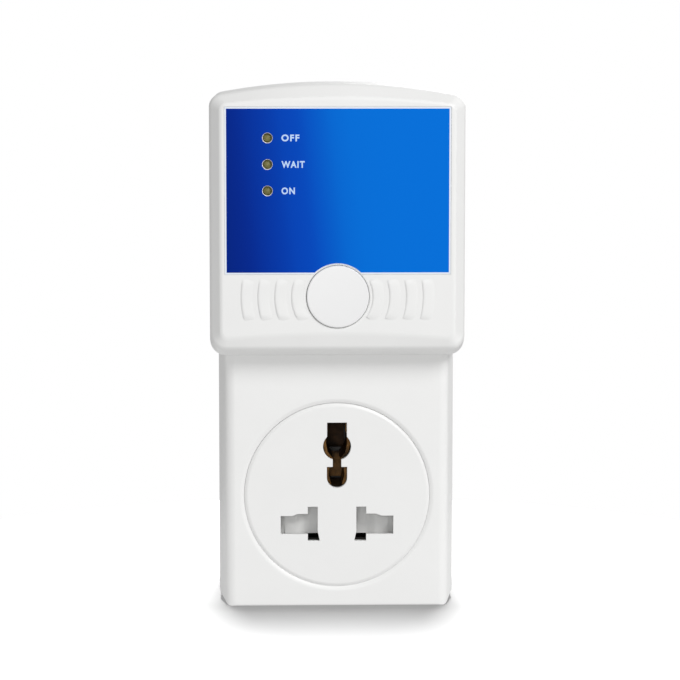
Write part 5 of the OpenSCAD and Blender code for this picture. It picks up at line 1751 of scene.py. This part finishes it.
@dataclass
class Studio:
    """The pale floor, the soft light and the camera.

    The floor's glow and shade are what they are to the object and to the camera.
    """

    eye: Place = (-18.2, -716.6, 144.2)
    target: Place = (0.0, -21.0, 68.0)
    lens: float = 143.4
    sensor: float = 36.0
    shift: Point = (0.0044, 0.00985)
    clip: Point = (0.05, 20.0)
    middle: Place = (0.0, 0.0, 70.0)
    floor_r: float = 150.0
    floor_sides: int = 128
    floor_glow: Point = (0.58, 0.12)
    floor_shades: Point = (0.03, 0.42)
    ambient: float = 0.375
    lamps: tuple[SoftLamp, ...] = (
        SoftLamp("key", (365.0, -583.0, 575.0), (380.0, 380.0), 3.9),
        SoftLamp("low_front", (-60.0, -800.0, 130.0), (240.0, 240.0), 0.95),
        SoftLamp("left_fill", (-700.0, -60.0, 120.0), (420.0, 420.0), 0.45),
        SoftLamp("right_fill", (700.0, -60.0, 120.0), (420.0, 420.0), 0.45),
        SoftLamp("back_fill", (300.0, 700.0, 420.0), (500.0, 500.0), 4.0),
        SoftLamp("floor_lamp", (4.0, 200.0, 920.0), (330.0, 660.0), 40.0, "INCLUDE"))

    def floor(self) -> bpy.types.Object:
        """Lay the floor: a round of pale card that throws an even light back at the object.

        Returns:
            The floor.
        """
        bm = bmesh.new()
        bmesh.ops.create_circle(bm, cap_ends=True, segments=self.floor_sides, radius=self.floor_r * MM)
        floor = link(bm, "floor")
        card = FLOOR_WHITE.make()
        tree = card.node_tree
        shader = tree.nodes["Principled BSDF"]
        tree.links.new(for_camera(tree, *self.floor_shades), shader.inputs["Base Color"])
        tree.links.new(for_camera(tree, *self.floor_glow), shader.inputs["Emission Strength"])
        shader.inputs["Emission Color"].default_value = (1.0, 1.0, 1.0, 1.0)
        floor.data.materials.append(card)
        return floor

    def hang(self, lamp: SoftLamp, floor: bpy.types.Object) -> None:
        """Hang one soft lamp that points at the object.

        Args:
            lamp: The lamp.
            floor: The floor, which the lamp leaves out or lights alone.
        """
        data = bpy.data.lights.new(lamp.name, "AREA")
        data.shape, data.energy = "ELLIPSE", lamp.power
        data.size, data.size_y = (size * MM for size in lamp.sizes)
        light = bpy.data.objects.new(lamp.name, data)
        lit = bpy.data.collections.new(f"{lamp.name}_lit")
        lit.objects.link(floor)
        lit.collection_objects[0].light_linking.link_state = lamp.floor_link
        light.light_linking.receiver_collection = lit
        self._aim(light, lamp.place, self.middle)

    def _aim(self, thing: bpy.types.Object, place: Place, target: Place) -> None:
        """Put a lamp or the camera in its place, turned to its target.

        Args:
            thing: The lamp or the camera.
            place: Its place.
            target: The point that it looks at.
        """
        bpy.context.scene.collection.objects.link(thing)
        way = Vector(target) - Vector(place)
        turn = way.to_track_quat("-Z", "Y").to_matrix().to_4x4()
        thing.matrix_world = Matrix.Translation(Vector(place) * MM) @ turn

    def sky(self) -> None:
        """Set the even light from all round, which the camera sees as white."""
        world = bpy.data.worlds.new("studio")
        bpy.context.scene.world = world
        world.use_nodes = True
        tree = world.node_tree
        background = tree.nodes["Background"]
        background.inputs["Color"].default_value = (1.0, 1.0, 1.0, 1.0)
        tree.links.new(for_camera(tree, self.ambient, 1.0), background.inputs["Strength"])

    def camera(self) -> None:
        """Stand the camera where the photograph was taken from."""
        data = bpy.data.cameras.new("camera")
        data.lens, data.sensor_width = self.lens, self.sensor
        data.shift_x, data.shift_y = self.shift
        data.clip_start, data.clip_end = self.clip
        camera = bpy.data.objects.new("camera", data)
        self._aim(camera, self.eye, self.target)
        bpy.context.scene.camera = camera

    def build(self) -> None:
        """Set up the studio."""
        floor = self.floor()
        self.sky()
        for lamp in self.lamps:
            self.hang(lamp, floor)
        self.camera()
        bpy.context.scene.view_settings.view_transform = "Standard"


def main() -> None:
    """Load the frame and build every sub-assembly over it."""
    logging.basicConfig(level=logging.INFO, format="%(name)s %(message)s")
    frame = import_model()
    for assembly in (Case(), Label(), Button(), Socket(), Plug()):
        LOG.info("building %s", type(assembly).__name__)
        assembly.build()
    Interior().build(frame["nodes"])
    Studio().build()


if __name__ == "__main__":
    main()
